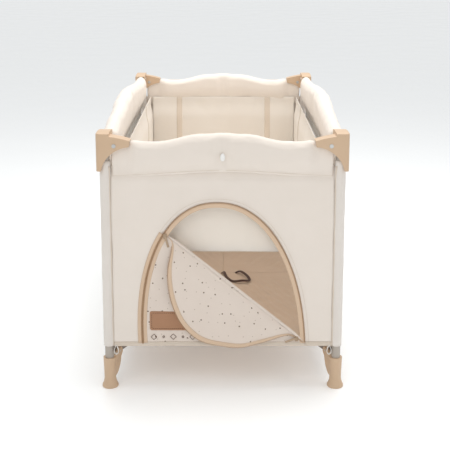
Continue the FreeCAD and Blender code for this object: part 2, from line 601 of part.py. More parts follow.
def makeDoorPanel():
    body = newBody("panel_door_end")
    half = "(leg_x - sleeve_radius - sleeve_gap)"
    sheetOutline = sketch(body, "door_panel_outline", "XZ_Plane", "panel_y", [
        (f"-{half}", "panel_bottom"), (half, "panel_bottom"), (half, "panel_top"), (f"-{half}", "panel_top")])
    pad(body, "door_panel_cloth", sheetOutline, "cloth")
    left, right = (foldPoints["left_x"], foldPoints["left_z"]), (foldPoints["right_x"], foldPoints["right_z"])
    doorway = sketch(body, "doorway_outline", "XZ_Plane", "panel_y - 1", [
        left, (right[0], "door_center"), right], {0: ("door_half_width", 1)})
    pocket(body, "doorway", doorway, "cloth + 2", reverse=True)
    return body


def makeFlap():
    body = newBody("door_flap")
    left, right = (foldPoints["left_x"], foldPoints["left_z"]), (foldPoints["right_x"], foldPoints["right_z"])
    corner = foldedOver(right[0], "door_center")
    outline = sketch(body, "flap_outline", "XZ_Plane", "panel_y + cloth + flap_gap", [left, corner, right],
                     {0: ("door_half_width", -1)})
    pad(body, "flap_cloth", outline, "cloth")
    return body


def makeSliders():
    """Two zip sliders: one where the zip stops at the left of the fold, and one at its right end."""
    front = "-panel_y - cloth * 2 - flap_gap - 1"
    pieces = [box(f"slider_{n}", (f"{x} - slider_width / 2", f"{x} + slider_width / 2"),
                  (f"{front} - slider_depth", front), (f"{z} - slider_length", z))
              for n, (x, z) in enumerate(((foldPoints["left_x"], foldPoints["left_z"]),
                                          (f"{foldPoints['right_x']} - 25", "door_bottom + 30")))]
    return label(group("sliders", *pieces), "zip_sliders")


def makePlainPanel():
    half = "(leg_x - sleeve_radius - sleeve_gap)"
    return label(box("plain_panel", (f"-{half}", half), ("panel_y", "panel_y + cloth"),
                     ("panel_bottom", "panel_top")), "panel_far_end")


def makeSidePanel():
    """Left side wall: a cloth border about the mesh window, with a sleeve round each leg."""
    outer, inner = "-panel_side - cloth", "-panel_side"
    plate = box("side_plate", (outer, inner), ("-leg_y", "leg_y"), ("panel_bottom", "panel_top"))
    window = box("side_window", (f"{outer} - 1", f"{inner} + 1"), ("-leg_y + window_side", "leg_y - window_side"),
                 ("panel_bottom + window_bottom", "panel_top - window_top"))
    sleeves, bores = [], []
    for number, y in enumerate(("-leg_y", "leg_y")):
        sleeves.append(cylinder(f"sleeve_{number}", "sleeve_radius", "panel_top - panel_bottom", "-leg_x", y, "panel_bottom"))
        bores.append(cylinder(f"sleeve_bore_{number}", "leg_diameter / 2 + sleeve_gap", "panel_top - panel_bottom + 2",
                              "-leg_x", y, "panel_bottom - 1"))
    return label(cut("side_panel", fuse("side_cloth", plate, *sleeves), window, *bores), "panel_left")


def makeMesh():
    middle = "-panel_side - cloth / 2"
    return label(box("mesh", (f"{middle} - mesh_thickness / 2", f"{middle} + mesh_thickness / 2"),
                     ("-leg_y + window_side", "leg_y - window_side"),
                     ("panel_bottom + window_bottom", "panel_top - window_top")), "mesh_left")


def makeFloor():
    x, y = "(leg_x - floor_margin)", "(leg_y - floor_margin)"
    slitX, slitY = "(loop_length / 2 + slit_gap)", "(loop_width / 2 + slit_gap)"
    plate = box("floor_cloth", (f"-{x}", x), (f"-{y}", y), ("floor_height", "floor_height + cloth"))
    slit = box("floor_slit", (f"-{slitX}", slitX), (f"-{slitY}", slitY), ("floor_height - 1", "floor_height + cloth + 1"))
    return label(cut("floor_cut", plate, slit), "lower_floor")


def makeTub():
    x, y = "(tub_width / 2)", "(tub_length / 2)"
    outer = box("tub_outer", (f"-{x}", x), (f"-{y}", y), ("tub_bottom", "tub_top"))
    inner = box("tub_inner", (f"-{x} + cloth", f"{x} - cloth"), (f"-{y} + cloth", f"{y} - cloth"),
                ("tub_bottom + cloth", "tub_top + 1"))
    return label(cut("tub", outer, inner), "upper_level")


def makeMattress():
    """Four boards in a row along the cot, joined by cloth folds."""
    x, low = "(tub_width / 2 - cloth - mattress_gap)", "tub_bottom + cloth + 0.4"
    long = "(tub_length - cloth * 2 - mattress_gap * 2)"
    boards = [box(f"board_{n}", (f"-{x}", x), (f"-{long} / 2 + {n} * {long} / 4 + fold_seam / 2",
                                               f"-{long} / 2 + {n + 1} * {long} / 4 - fold_seam / 2"),
                  (low, f"{low} + mattress_height")) for n in range(4)]
    return label(group("boards", *boards), "mattress")


def exportAll(pieces):
    doc.recompute()
    for obj in doc.Objects:
        if any(word in obj.State for word in ("Invalid", "Error")):
            raise ValueError(f"{obj.Name} failed: {obj.State}")
    os.makedirs("parts", exist_ok=True)
    names = [piece.Label for piece in pieces]
    if len(set(names)) != len(names):
        raise ValueError("two pieces share a name")
    for piece in pieces:
        if piece.Shape.isNull() or not piece.Shape.isValid():
            raise ValueError(f"{piece.Label} has no valid shape")
        piece.Shape.exportStep(f"parts/{piece.Label}.step")
    print(len(pieces), "pieces written")


corner = [makeLeg(), makeFoot(), makeCap(), makeRivets(), makeArm(), makeEndRail(), makeSideRail()]
pieces = list(corner)
for piece in corner:
    kind = piece.Label.replace("_front_left", "")
    right = mirrored(piece, f"{kind}_front_right", "x")
    pieces += [right, mirrored(piece, f"{kind}_back_left", "y"), mirrored(right, f"{kind}_back_right", "y")]

for along, place, height, first, second, across in (
        ("x", "leg_y", "end_rail_height", "front", "back", "y"), ("y", "leg_x", "side_rail_height", "left", "right", "x")):
    kinds = ("latch", "latch_pins", "latch_button", "rail_cover")
    end = along == "x"
    cover = makeCover(f"cover_{first}", along, place, height, "cover_end_rise" if end else "cover_side_rise",
                      "end_hump" if end else "side_hump", "leg_x" if end else "leg_y")
    for kind, piece in zip(kinds, (*makeLatch(f"latch_{first}", along, place, height), cover)):
        label(piece, f"{kind}_{first}")
        pieces += [piece, mirrored(piece, f"{kind}_{second}", across)]

side, mesh = makeSidePanel(), makeMesh()
pieces += [makeHub(), makeHubPins(), makeLoop(), makeDoorPanel(), makeFlap(), makeSliders(), makePlainPanel(),
           side, mirrored(side, "panel_right", "x"), mesh, mirrored(mesh, "mesh_right", "x"),
           makeFloor(), makeTub(), makeMattress()]
exportAll(pieces)
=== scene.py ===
import bpy
import bmesh
import math
import numpy as np
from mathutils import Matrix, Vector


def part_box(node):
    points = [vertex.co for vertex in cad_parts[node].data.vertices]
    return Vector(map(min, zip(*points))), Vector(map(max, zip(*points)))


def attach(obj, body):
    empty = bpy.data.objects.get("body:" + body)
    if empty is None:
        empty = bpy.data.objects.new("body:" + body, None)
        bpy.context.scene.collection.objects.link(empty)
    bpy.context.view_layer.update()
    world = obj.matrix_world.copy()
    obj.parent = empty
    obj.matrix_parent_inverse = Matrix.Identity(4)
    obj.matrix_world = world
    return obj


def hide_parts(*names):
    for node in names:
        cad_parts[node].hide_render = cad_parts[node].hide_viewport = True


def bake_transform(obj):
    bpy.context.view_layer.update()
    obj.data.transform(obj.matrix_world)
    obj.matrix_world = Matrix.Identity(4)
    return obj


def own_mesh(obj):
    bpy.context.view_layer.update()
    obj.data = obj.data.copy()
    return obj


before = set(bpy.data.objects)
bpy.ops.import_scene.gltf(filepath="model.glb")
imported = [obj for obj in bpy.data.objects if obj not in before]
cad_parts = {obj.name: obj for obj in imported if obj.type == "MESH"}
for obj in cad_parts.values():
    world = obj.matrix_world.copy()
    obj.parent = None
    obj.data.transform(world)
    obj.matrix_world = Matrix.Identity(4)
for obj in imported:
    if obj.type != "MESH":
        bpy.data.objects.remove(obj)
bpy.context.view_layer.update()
scene = bpy.context.scene

corners = {"front_left": (-1, -1), "front_right": (1, -1), "back_right": (1, 1), "back_left": (-1, 1)}


def boxOf(node):
    low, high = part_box(node)
    return np.array(low, float), np.array(high, float)


legLow, legHigh = boxOf("leg_front_left")
legX, legY = -(legLow[0] + legHigh[0]) / 2, -(legLow[1] + legHigh[1]) / 2
doorPlane = boxOf("panel_door_end")[0][1] + 0.001
farPlane = boxOf("panel_far_end")[1][1] - 0.001
sidePlane = boxOf("mesh_right")[1][0] - 0.0005


# Camera: square on to the door end and looking a little down, with a small shift to frame the cot

cameraSettings = {"place": (0.0064, -3.1206, 1.2211), "pitch": 0.20, "lens": 76.3, "shift": (0, -0.19)}
cameraData = bpy.data.cameras.new("camera")
cameraData.lens = cameraSettings["lens"]
cameraData.shift_x, cameraData.shift_y = cameraSettings["shift"]
camera = bpy.data.objects.new("camera", cameraData)
camera.location = cameraSettings["place"]
camera.rotation_euler = (math.pi / 2 - cameraSettings["pitch"], 0, 0)
scene.collection.objects.link(camera)
scene.camera = camera
scene.view_settings.view_transform = "Standard"


# Materials

# sRGB hex to the linear colour a shader takes
def paint(code):
    parts = [int(code[i:i + 2], 16) / 255 for i in (1, 3, 5)]
    return [p / 12.92 if p <= 0.04045 else ((p + 0.055) / 1.055) ** 2.4 for p in parts] + [1]


# Adds a node, sets its properties, and fills or links its inputs
def addNode(tree, kind, settings=None, inputs=None):
    node = tree.nodes.new(kind)
    for key, value in (settings or {}).items():
        setattr(node, key, value)
    for key, value in (inputs or {}).items():
        if isinstance(value, bpy.types.NodeSocket):
            tree.links.new(value, node.inputs[key])
        else:
            node.inputs[key].default_value = value
    return node


# The result of one arithmetic node
def calculate(tree, operation, *values):
    return addNode(tree, "ShaderNodeMath", {"operation": operation}, dict(enumerate(values))).outputs[0]


def noise(tree, place, scale, detail, **extra):
    inputs = {"Vector": place, "Scale": scale, "Detail": detail, **extra}
    return addNode(tree, "ShaderNodeTexNoise", inputs=inputs)


# Surface relief from a height, as the normal that a shader takes
def relief(tree, height, strength, distance):
    return addNode(tree, "ShaderNodeBump", inputs={
        "Strength": strength, "Distance": distance, "Height": height}).outputs[0]


def startMaterial(name):
    material = bpy.data.materials.new(name)
    material.use_nodes = True
    material.node_tree.nodes.clear()
    return material, material.node_tree


def finishMaterial(tree, shader):
    addNode(tree, "ShaderNodeOutputMaterial", inputs={"Surface": shader})


# Bands of a wave texture repeat every 0.31416 m at scale 1
def waveScale(spacing):
    return 0.31416 / spacing


# Two directions in the cloth: for upright cloth the level direction is x + y, because one of them is constant
def clothPlane(tree, upright):
    coords = addNode(tree, "ShaderNodeTexCoord")
    parts = addNode(tree, "ShaderNodeSeparateXYZ", inputs={0: coords.outputs["Object"]})
    x, y, z = parts.outputs
    first, second, alone = (x, y, z) if upright else (y, z, x)
    both = calculate(tree, "ADD", first, second)
    return addNode(tree, "ShaderNodeCombineXYZ", inputs={0: both, 1: alone}).outputs[0]


# A thread pattern: two sets of bands at right angles, unevened by noise
def weave(tree, plane, spacing):
    bands = []
    for direction in ("X", "Y"):
        bands.append(addNode(tree, "ShaderNodeTexWave", {"bands_direction": direction}, {
            "Vector": plane, "Scale": waveScale(spacing), "Distortion": 1.2, "Detail": 1.0,
            "Detail Scale": 2.0}).outputs["Fac"])
    return calculate(tree, "MULTIPLY", *bands)


# Round printed spots scattered one to a cell of the given size
def spots(tree, plane, cell, radius):
    cells = addNode(tree, "ShaderNodeTexVoronoi", {"voronoi_dimensions": "2D"}, {
        "Vector": plane, "Scale": 1 / cell, "Randomness": 0.75})
    return calculate(tree, "LESS_THAN", cells.outputs["Distance"], radius / cell)


def blendColour(tree, factor, first, second):
    return addNode(tree, "ShaderNodeMixRGB", inputs={0: factor, 1: first, 2: second}).outputs[0]


# Woven cloth: thread bump, soft mottling, fibre sheen, and printed spots if asked for
def clothMaterial(name, look):
    material, tree = startMaterial(name)
    plane = clothPlane(tree, look.get("upright", True))
    threads = weave(tree, plane, look["thread"])
    mottle = noise(tree, plane, 9, 4, Roughness=0.6)
    base = blendColour(tree, mottle.outputs[0], paint(look["colour"]), paint(look["worn"]))
    shade = calculate(tree, "MULTIPLY", threads, 0.12)
    colour = blendColour(tree, shade, base, paint(look["dark"]))
    for cell, radius, ink in look.get("print", ()):
        colour = blendColour(tree, spots(tree, plane, cell, radius), colour, paint(ink))
    creases = noise(tree, plane, 26, 5, Distortion=0.6)
    height = calculate(tree, "MULTIPLY_ADD", creases.outputs[0], 2.2, threads)
    shader = addNode(tree, "ShaderNodeBsdfPrincipled", inputs={
        "Base Color": colour, "Roughness": 0.88, "Sheen Weight": 0.25, "Sheen Roughness": 0.5,
        "Specular IOR Level": 0.25, "Normal": relief(tree, height, look.get("bump", 0.35), 0.0009)})
    surfaceShader = shader.outputs[0]
    if look.get("through"):
        glow = addNode(tree, "ShaderNodeBsdfTranslucent", inputs={"Color": colour})
        surfaceShader = addNode(tree, "ShaderNodeMixShader", inputs={
            0: look["through"], 1: surfaceShader, 2: glow.outputs[0]}).outputs[0]
    finishMaterial(tree, surfaceShader)
    return material


# Moulded nylon: fine spark-eroded grain, a soft shine and faint flow marks
def plasticMaterial(name, look):
    material, tree = startMaterial(name)
    place = addNode(tree, "ShaderNodeTexCoord").outputs["Object"]
    flow = noise(tree, place, 14, 3)
    grain = noise(tree, place, 900, 2)
    colour = blendColour(tree, flow.outputs[0], paint(look["colour"]), paint(look["worn"]))
    gloss = addNode(tree, "ShaderNodeMapRange", inputs={
        0: flow.outputs[0], 3: look["rough"] - 0.06, 4: look["rough"] + 0.08})
    shader = addNode(tree, "ShaderNodeBsdfPrincipled", inputs={
        "Base Color": colour, "Roughness": gloss.outputs[0], "IOR": 1.52,
        "Normal": relief(tree, grain.outputs[0], 0.25, 0.0002)})
    finishMaterial(tree, shader.outputs[0])
    return material


# Metal or painted tube: drawn lines along the given axis, uneven polish
def metalMaterial(name, look):
    material, tree = startMaterial(name)
    place = addNode(tree, "ShaderNodeTexCoord").outputs["Object"]
    drawn = addNode(tree, "ShaderNodeMapping", inputs={"Vector": place, "Scale": look["drawn"]})
    lines = noise(tree, drawn.outputs[0], 300, 3)
    wear = noise(tree, place, 40, 5)
    colour = blendColour(tree, wear.outputs[0], paint(look["colour"]), paint(look["worn"]))
    gloss = addNode(tree, "ShaderNodeMapRange", inputs={
        0: wear.outputs[0], 3: look["rough"] - 0.07, 4: look["rough"] + 0.1})
    shader = addNode(tree, "ShaderNodeBsdfPrincipled", inputs={
        "Base Color": colour, "Metallic": look["metallic"], "Roughness": gloss.outputs[0],
        "Normal": relief(tree, lines.outputs[0], 0.2, 0.0001)})
    finishMaterial(tree, shader.outputs[0])
    return material


# Webbing and zip tape: ribs across the strip's own length, read from its map, with painted shade between ribs
def tapeMaterial(name, look):
    material, tree = startMaterial(name)
    strip = addNode(tree, "ShaderNodeUVMap", {"uv_map": "cloth"}).outputs[0]
    ribs = addNode(tree, "ShaderNodeTexWave", {"bands_direction": "X"}, {
        "Vector": strip, "Scale": waveScale(look["rib"]), "Distortion": 0.8, "Detail": 1.0})
    lanes = addNode(tree, "ShaderNodeTexWave", {"bands_direction": "Y"}, {
        "Vector": strip, "Scale": waveScale(look["rib"] * 1.6)})
    both = calculate(tree, "MULTIPLY", ribs.outputs["Fac"], lanes.outputs["Fac"])
    # painted shade: the colour darkens towards the dark tone in the grooves between the ribs
    ribShade = calculate(tree, "MULTIPLY", both, 0.5)
    colour = blendColour(tree, ribShade, paint(look["colour"]), paint(look["dark"]))
    shader = addNode(tree, "ShaderNodeBsdfPrincipled", inputs={
        "Base Color": colour, "Roughness": 0.75, "Sheen Weight": 0.15,
        "Normal": relief(tree, both, 0.5, 0.0005)})
    finishMaterial(tree, shader.outputs[0])
    return material


# Knitted net: round holes where three sets of bands, a third of a turn apart, all run high
def netMaterial(name, look):
    material, tree = startMaterial(name)
    plane = clothPlane(tree, True)
    total = None
    for turn in (0, 60, 120):
        turned = addNode(tree, "ShaderNodeMapping", inputs={
            "Vector": plane, "Rotation": (0, 0, math.radians(turn))})
        band = addNode(tree, "ShaderNodeTexWave", inputs={
            "Vector": turned.outputs[0], "Scale": waveScale(look["hole"])}).outputs["Fac"]
        total = band if total is None else calculate(tree, "ADD", total, band)
    hole = calculate(tree, "GREATER_THAN", total, look["open"])
    shader = addNode(tree, "ShaderNodeBsdfPrincipled", inputs={
        "Base Color": paint(look["colour"]), "Roughness": 0.7, "Sheen Weight": 0.3,
        "Normal": relief(tree, total, 0.4, 0.0006)})
    clear = addNode(tree, "ShaderNodeBsdfTransparent")
    mixed = addNode(tree, "ShaderNodeMixShader", inputs={0: hole, 1: shader.outputs[0], 2: clear.outputs[0]})
    finishMaterial(tree, mixed.outputs[0])
    return material


# Cream polyester canvas: plain weave with 0.7 mm threads, drawn at 1.6 mm so that they show, matt and warm
creamCanvas = clothMaterial("woven_cream_canvas", {
    "colour": "#ECE2D9", "worn": "#E5DBD0", "dark": "#D3C7BB", "thread": 0.0016})
# The same canvas in off-white for the long sides: colder and brighter
whiteCanvas = clothMaterial("woven_white_canvas", {
    "colour": "#F2F0ED", "worn": "#EAE7E2", "dark": "#D8D4CD", "thread": 0.0016, "through": 0.15})
# Leg sleeves: the same canvas, painted greyer as shade on the round sleeve
shadedSleeveCanvas = clothMaterial("woven_cream_canvas_painted_grey_shade", {
    "colour": "#E8E1DA", "worn": "#DED6CE", "dark": "#C6BCB2", "thread": 0.0016})
# Brushed printed lining: cream with scattered small spots, softer and a little pinker
printedLining = clothMaterial("printed_brushed_lining", {
    "colour": "#E6D9CE", "worn": "#DDCFC3", "dark": "#C6B6A8", "thread": 0.0014,
    "print": ((0.044, 0.0021, "#75604F"), (0.031, 0.0015, "#C2B2A4"))})
# Pale lining of the hanging bed: light cream, slightly see-through looking
bedLining = clothMaterial("woven_bed_lining", {
    "colour": "#FAF4EC", "worn": "#F5EDE3", "dark": "#E2D6C9", "thread": 0.0018, "through": 0.25})
# Padded tan floor cloth: dense oxford weave, warm mid brown
floorCloth = clothMaterial("woven_tan_oxford", {
    "colour": "#DEC6AF", "worn": "#D4BBA2", "dark": "#B3977C", "thread": 0.002, "upright": False,
    "bump": 0.5})
# Quilted mattress ticking: cream knit with a faint spot
ticking = clothMaterial("quilted_cream_ticking", {
    "colour": "#EFE6DA", "worn": "#E6DBCD", "dark": "#CBBDAB", "thread": 0.002, "upright": False,
    "print": ((0.045, 0.003, "#C3AD98"),)})
# Bonded suede patch: tan brown, fine nap
suede = clothMaterial("bonded_tan_suede", {
    "colour": "#C09272", "worn": "#AE8264", "dark": "#7F5B43", "thread": 0.0011, "bump": 0.6})
# Bound edge and hem: folded canvas, a shade darker where it doubles
hemCloth = clothMaterial("folded_canvas_hem", {
    "colour": "#DDD0C2", "worn": "#D2C4B4", "dark": "#B5A492", "thread": 0.0012})
bindingWhite = clothMaterial("folded_white_binding", {
    "colour": "#E7E2DC", "worn": "#DCD6CE", "dark": "#BDB5AA", "thread": 0.0012})
# Zip tape: knitted polyester tape, tan, ribbed along its length
zipTape = tapeMaterial("knitted_tan_zip_tape", {"colour": "#D8BDA2", "dark": "#BE9F80", "rib": 0.0022})
# Nylon coil: glossy tan teeth
coilNylon = plasticMaterial("moulded_coil_nylon", {"colour": "#BC9A79", "worn": "#AC8968", "rough": 0.35})
brownWebbing = tapeMaterial("woven_brown_webbing", {"colour": "#4A2C1E", "dark": "#24120A", "rib": 0.003})
whiteWebbing = tapeMaterial("woven_white_webbing", {"colour": "#ECE7E0", "dark": "#B9B0A6", "rib": 0.003})
sewingThread = tapeMaterial("spun_cream_thread", {"colour": "#CDBDAB", "dark": "#A99783", "rib": 0.001})
brownThread = tapeMaterial("spun_brown_thread", {"colour": "#6B4B36", "dark": "#4A3122", "rib": 0.001})
wovenBadge = tapeMaterial("woven_white_badge", {"colour": "#F6F4F1", "dark": "#DAD5CE", "rib": 0.0012})
# Knitted polyester net: 2.5 mm holes drawn at 5 mm so that they show
sideNet = netMaterial("knitted_white_net", {"colour": "#F1F1F1", "hole": 0.005, "open": 1.62})
# Moulded nylon of caps and feet: sand brown, satin, fine grain
tanNylon = plasticMaterial("moulded_tan_nylon", {"colour": "#D0B496", "worn": "#C7A98B", "rough": 0.42})
darkNylon = plasticMaterial("moulded_brown_nylon", {"colour": "#8D7460", "worn": "#7F6652", "rough": 0.45})
# Powder-coated steel tube: warm grey, faint orange peel
coatedTube = metalMaterial("powder_coated_tube", {
    "colour": "#B9B0A6", "worn": "#A99F95", "rough": 0.45, "metallic": 0.0, "drawn": (1, 1, 1)})
coatedArm = metalMaterial("powder_coated_arm", {
    "colour": "#94897F", "worn": "#857A70", "rough": 0.45, "metallic": 0.0, "drawn": (1, 1, 1)})
# Zinc plated steel: pale blue-grey, drawn lines round the pin
platedSteel = metalMaterial("zinc_plated_steel", {
    "colour": "#D6D6D4", "worn": "#B9B9B8", "rough": 0.3, "metallic": 1.0, "drawn": (1, 1, 0.1)})
# Cast zinc slider: darker, lacquered
castZinc = metalMaterial("lacquered_zinc_slider", {
    "colour": "#B79F86", "worn": "#A0886F", "rough": 0.36, "metallic": 0.2, "drawn": (1, 1, 1)})

nodeMaterials = {"leg_": coatedTube, "foot_": tanNylon, "cap_": tanNylon, "rivets_": platedSteel,
                 "arm_": coatedArm, "end_rail_": platedSteel, "side_rail_": platedSteel,
                 "latch_pins_": platedSteel, "latch_button_": darkNylon, "latch_": tanNylon,
                 "hub_pins": platedSteel, "hub_pull_loop": brownWebbing, "hub": darkNylon}
for node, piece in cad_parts.items():
    found = next((m for start, m in nodeMaterials.items() if node.startswith(start)), creamCanvas)
    piece.data.materials.clear()
    piece.data.materials.append(found)
print("materials made")


# Mesh tools

def smooth(low, high, value):
    share = np.clip((value - low) / (high - low), 0, 1)
    return share * share * (3 - 2 * share)


# Soft unevenness: a sum of sine waves with seeded directions, lengths and phases, about one at its peaks
def ripple(a, b, seed, shortest, longest):
    count = 7
    draw = np.random.default_rng(seed)
    turns = draw.uniform(0, math.tau, count)
    lengths = np.exp(draw.uniform(math.log(shortest), math.log(longest), count))
    phases = draw.uniform(0, math.tau, count)
    total = np.zeros(np.broadcast(a, b).shape)
    for turn, length, phase in zip(turns, lengths, phases):
        total = total + np.sin(math.tau * (a * math.cos(turn) + b * math.sin(turn)) / length + phase)
    return total / (1.5 * math.sqrt(count))


# Two grids of values: the first runs down the rows and the second along the columns
def grid(firstLow, firstHigh, rows, secondLow, secondHigh, columns):
    return np.meshgrid(np.linspace(firstLow, firstHigh, rows), np.linspace(secondLow, secondHigh, columns),
                       indexing="ij")


# A mesh from a grid of points, rows by columns, either way closed on itself, with a map in metres of cloth
def surface(name, points, material, wrapRows=False, wrapColumns=False, capped=False, thickness=0):
    points = np.asarray(points, float)
    rows, columns = points.shape[:2]
    i = np.arange(rows if wrapRows else rows - 1)
    j = np.arange(columns if wrapColumns else columns - 1)
    across, along = np.meshgrid(i, j, indexing="ij")
    steps = ((0, 0), (1, 0), (1, 1), (0, 1))
    faces = np.stack([((across + a) % rows) * columns + (along + b) % columns for a, b in steps], -1)
    faces = faces.reshape(-1, 4)
    rowStep = np.linalg.norm(np.roll(points, -1, 0) - points, axis=2).mean(1)
    columnStep = np.linalg.norm(np.roll(points, -1, 1) - points, axis=2).mean(0)
    u = np.concatenate([[0], np.cumsum(rowStep)])
    v = np.concatenate([[0], np.cumsum(columnStep)])
    maps = np.stack([np.stack([u[across + a], v[along + b]], -1) for a, b in steps], 2).reshape(-1, 2)
    faces = faces.tolist()
    if capped:
        ends = [list(range(columns)), list(range((rows - 1) * columns, rows * columns))]
        faces += [ends[0], ends[1][::-1]]
        maps = np.concatenate([maps, np.zeros((columns * 2, 2))])
    mesh = bpy.data.meshes.new(name)
    mesh.from_pydata(points.reshape(-1, 3).tolist(), [], faces)
    layer = mesh.uv_layers.new(name="cloth")
    layer.data.foreach_set("uv", maps.astype(np.float32).ravel())
    mesh.polygons.foreach_set("use_smooth", np.ones(len(mesh.polygons), bool))
    mesh.materials.append(material)
    piece = bpy.data.objects.new(name, mesh)
    scene.collection.objects.link(piece)
    if capped or (wrapRows and wrapColumns):
        outward(piece)
    if thickness:
        solid = piece.modifiers.new("thickness", "SOLIDIFY")
        solid.thickness = thickness
        solid.offset = 0
    return piece


def outward(piece):
    work = bmesh.new()
    work.from_mesh(piece.data)
    bmesh.ops.remove_doubles(work, verts=work.verts, dist=1e-6)
    bmesh.ops.recalc_face_normals(work, faces=work.faces)
    work.to_mesh(piece.data)
    work.free()


# Directions at each point of a path: along it, across it, and away from the surface it lies on
def pathFrames(path, normal, closed=False):
    path = np.asarray(path, float)
    ahead = (np.roll(path, -1, 0) - np.roll(path, 1, 0)) if closed else np.gradient(path, axis=0)
    ahead /= np.linalg.norm(ahead, axis=1, keepdims=True)
    normal = np.broadcast_to(np.asarray(normal, float), path.shape)
    side = np.cross(normal, ahead)
    side /= np.linalg.norm(side, axis=1, keepdims=True)
    up = np.cross(ahead, side)
    return path, ahead, side, up


# A closed profile of (across, up) points carried along a path
def sweep(name, path, normal, profile, material, closed=False):
    path, _, side, up = pathFrames(path, normal, closed)
    profile = np.asarray(profile, float)
    points = path[:, None] + side[:, None] * profile[None, :, 0:1] + up[:, None] * profile[None, :, 1:2]
    return surface(name, points, material, wrapRows=closed, wrapColumns=True, capped=not closed)


# A flat strip's profile: a rectangle with rounded ends, as an ellipse with squared sides
def stripProfile(width, height, count=12, shift=0.0):
    turn = np.arange(count) / count * math.tau
    x = np.sign(np.cos(turn)) * np.abs(np.cos(turn)) ** 0.5 * width / 2 + shift
    y = np.sign(np.sin(turn)) * np.abs(np.sin(turn)) ** 0.7 * height / 2
    return np.stack([x, y], -1)


# Points at an even spacing along a path
def evenly(path, spacing):
    path = np.asarray(path, float)
    reach = np.concatenate([[0], np.cumsum(np.linalg.norm(np.diff(path, axis=0), axis=1))])
    count = max(2, int(round(reach[-1] / spacing)) + 1)
    wanted = np.linspace(0, reach[-1], count)
    return np.stack([np.interp(wanted, reach, path[:, k]) for k in range(3)], -1)


# A smooth curve through a few points: each stretch is a cubic whose slopes come from its neighbours
def throughPoints(points, count=24):
    points = np.asarray(points, float)
    before = np.concatenate([[2 * points[0] - points[1]], points[:-1]])
    after = np.concatenate([points[1:], [2 * points[-1] - points[-2]]])
    slope = (after - before) / 2
    t = np.linspace(0, 1, count, endpoint=False)[:, None]
    parts = [(2 * t ** 3 - 3 * t ** 2 + 1) * points[k] + (t ** 3 - 2 * t ** 2 + t) * slope[k]
             + (-2 * t ** 3 + 3 * t ** 2) * points[k + 1] + (t ** 3 - t ** 2) * slope[k + 1]
             for k in range(len(points) - 1)]
    return np.concatenate(parts + [points[-1:]])


# Small raised blocks in a row, such as stitches or zip teeth: size is along, across and up, narrower on top
def studRow(name, path, normal, pitch, size, material, lift=0.0):
    path, ahead, side, up = pathFrames(evenly(path, pitch), normal)
    signs = np.array([(a, b, c) for c in (0, 1) for a, b in ((-1, -1), (1, -1), (1, 1), (-1, 1))], float)
    narrow = np.where(signs[:, 2:] > 0, 0.7, 1.0)
    local = np.concatenate([signs[:, :2] * narrow * np.array(size[:2]) / 2, signs[:, 2:] * size[2]], 1)
    points = (path[:, None] + ahead[:, None] * local[None, :, 0:1] + side[:, None] * local[None, :, 1:2]
              + up[:, None] * (local[None, :, 2:3] + lift))
    block = np.array([(3, 2, 1, 0), (4, 5, 6, 7), (0, 1, 5, 4), (1, 2, 6, 5), (2, 3, 7, 6), (3, 0, 4, 7)])
    faces = (block[None] + 8 * np.arange(len(path))[:, None, None]).reshape(-1, 4)
    mesh = bpy.data.meshes.new(name)
    mesh.from_pydata(points.reshape(-1, 3).tolist(), [], faces.tolist())
    layer = mesh.uv_layers.new(name="cloth")
    layer.data.foreach_set("uv", np.zeros(len(mesh.loops) * 2, np.float32))
    mesh.materials.append(material)
    piece = bpy.data.objects.new(name, mesh)
    scene.collection.objects.link(piece)
    outward(piece)
    return piece


# How the soft pieces follow the folding frame: each moves with one body of the frame
gather = {
    "door": ("corner_front_left", (1, 0, 0), (-legX, 0, 0), 0.239),
    "far": ("corner_back_right", (1, 0, 0), (legX, 0, 0), 0.239),
    "left": ("corner_front_left", (0, 1, 0), (0, -legY, 0), 0.167),
    "right": ("corner_front_right", (0, 1, 0), (0, -legY, 0), 0.167),
    "flap": ("door_flap", (1, 0, 0), (-legX, 0, 0), 0.239),
}


def follow(where, *made):
    body, axis, anchor, keep = gather[where]
    for piece in made:
        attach(piece, body)
        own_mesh(piece)


# Blows a padded shape up with cloth pressure: no point moves past the cap, and a weight eases the result in
def puff(piece, settings, weight):
    remesh = piece.modifiers.new("remesh", "REMESH")
    remesh.mode = "VOXEL"
    remesh.voxel_size = settings["voxel"]
    remesh.use_smooth_shade = True
    depsgraph = bpy.context.evaluated_depsgraph_get()
    material = piece.data.materials[0]
    piece.data = bpy.data.meshes.new_from_object(piece.evaluated_get(depsgraph))
    piece.modifiers.clear()
    piece.data.materials.clear()
    piece.data.materials.append(material)
    cloth = piece.modifiers.new("cloth", "CLOTH")
    cloth.settings.use_pressure = True
    cloth.settings.uniform_pressure_force = settings["pressure"]
    cloth.settings.effector_weights.gravity = 0
    cloth.point_cache.frame_start, cloth.point_cache.frame_end = 1, 20
    for step in range(1, 21):
        scene.frame_set(step)
    depsgraph = bpy.context.evaluated_depsgraph_get()
    blown = piece.evaluated_get(depsgraph).data
    start = np.zeros(len(piece.data.vertices) * 3, np.float32)
    end = start.copy()
    piece.data.vertices.foreach_get("co", start)
    blown.vertices.foreach_get("co", end)
    start, end = start.reshape(-1, 3), end.reshape(-1, 3)
    piece.modifiers.clear()
    scene.frame_set(1)
    move = end - start
    far = np.linalg.norm(move, axis=1, keepdims=True)
    move *= np.minimum(1, settings["cap"] / np.maximum(far, 1e-9)) * weight(start)[:, None]
    piece.data.vertices.foreach_set("co", (start + move).ravel())
    piece.data.update()
    piece.data.polygons.foreach_set("use_smooth", np.ones(len(piece.data.polygons), bool))
    finer = piece.modifiers.new("finer", "SUBSURF")
    finer.levels = finer.render_levels = 1


# Padded rail covers: a padded sleeve over each rail, in two halves that meet in a sewn seam at the latch

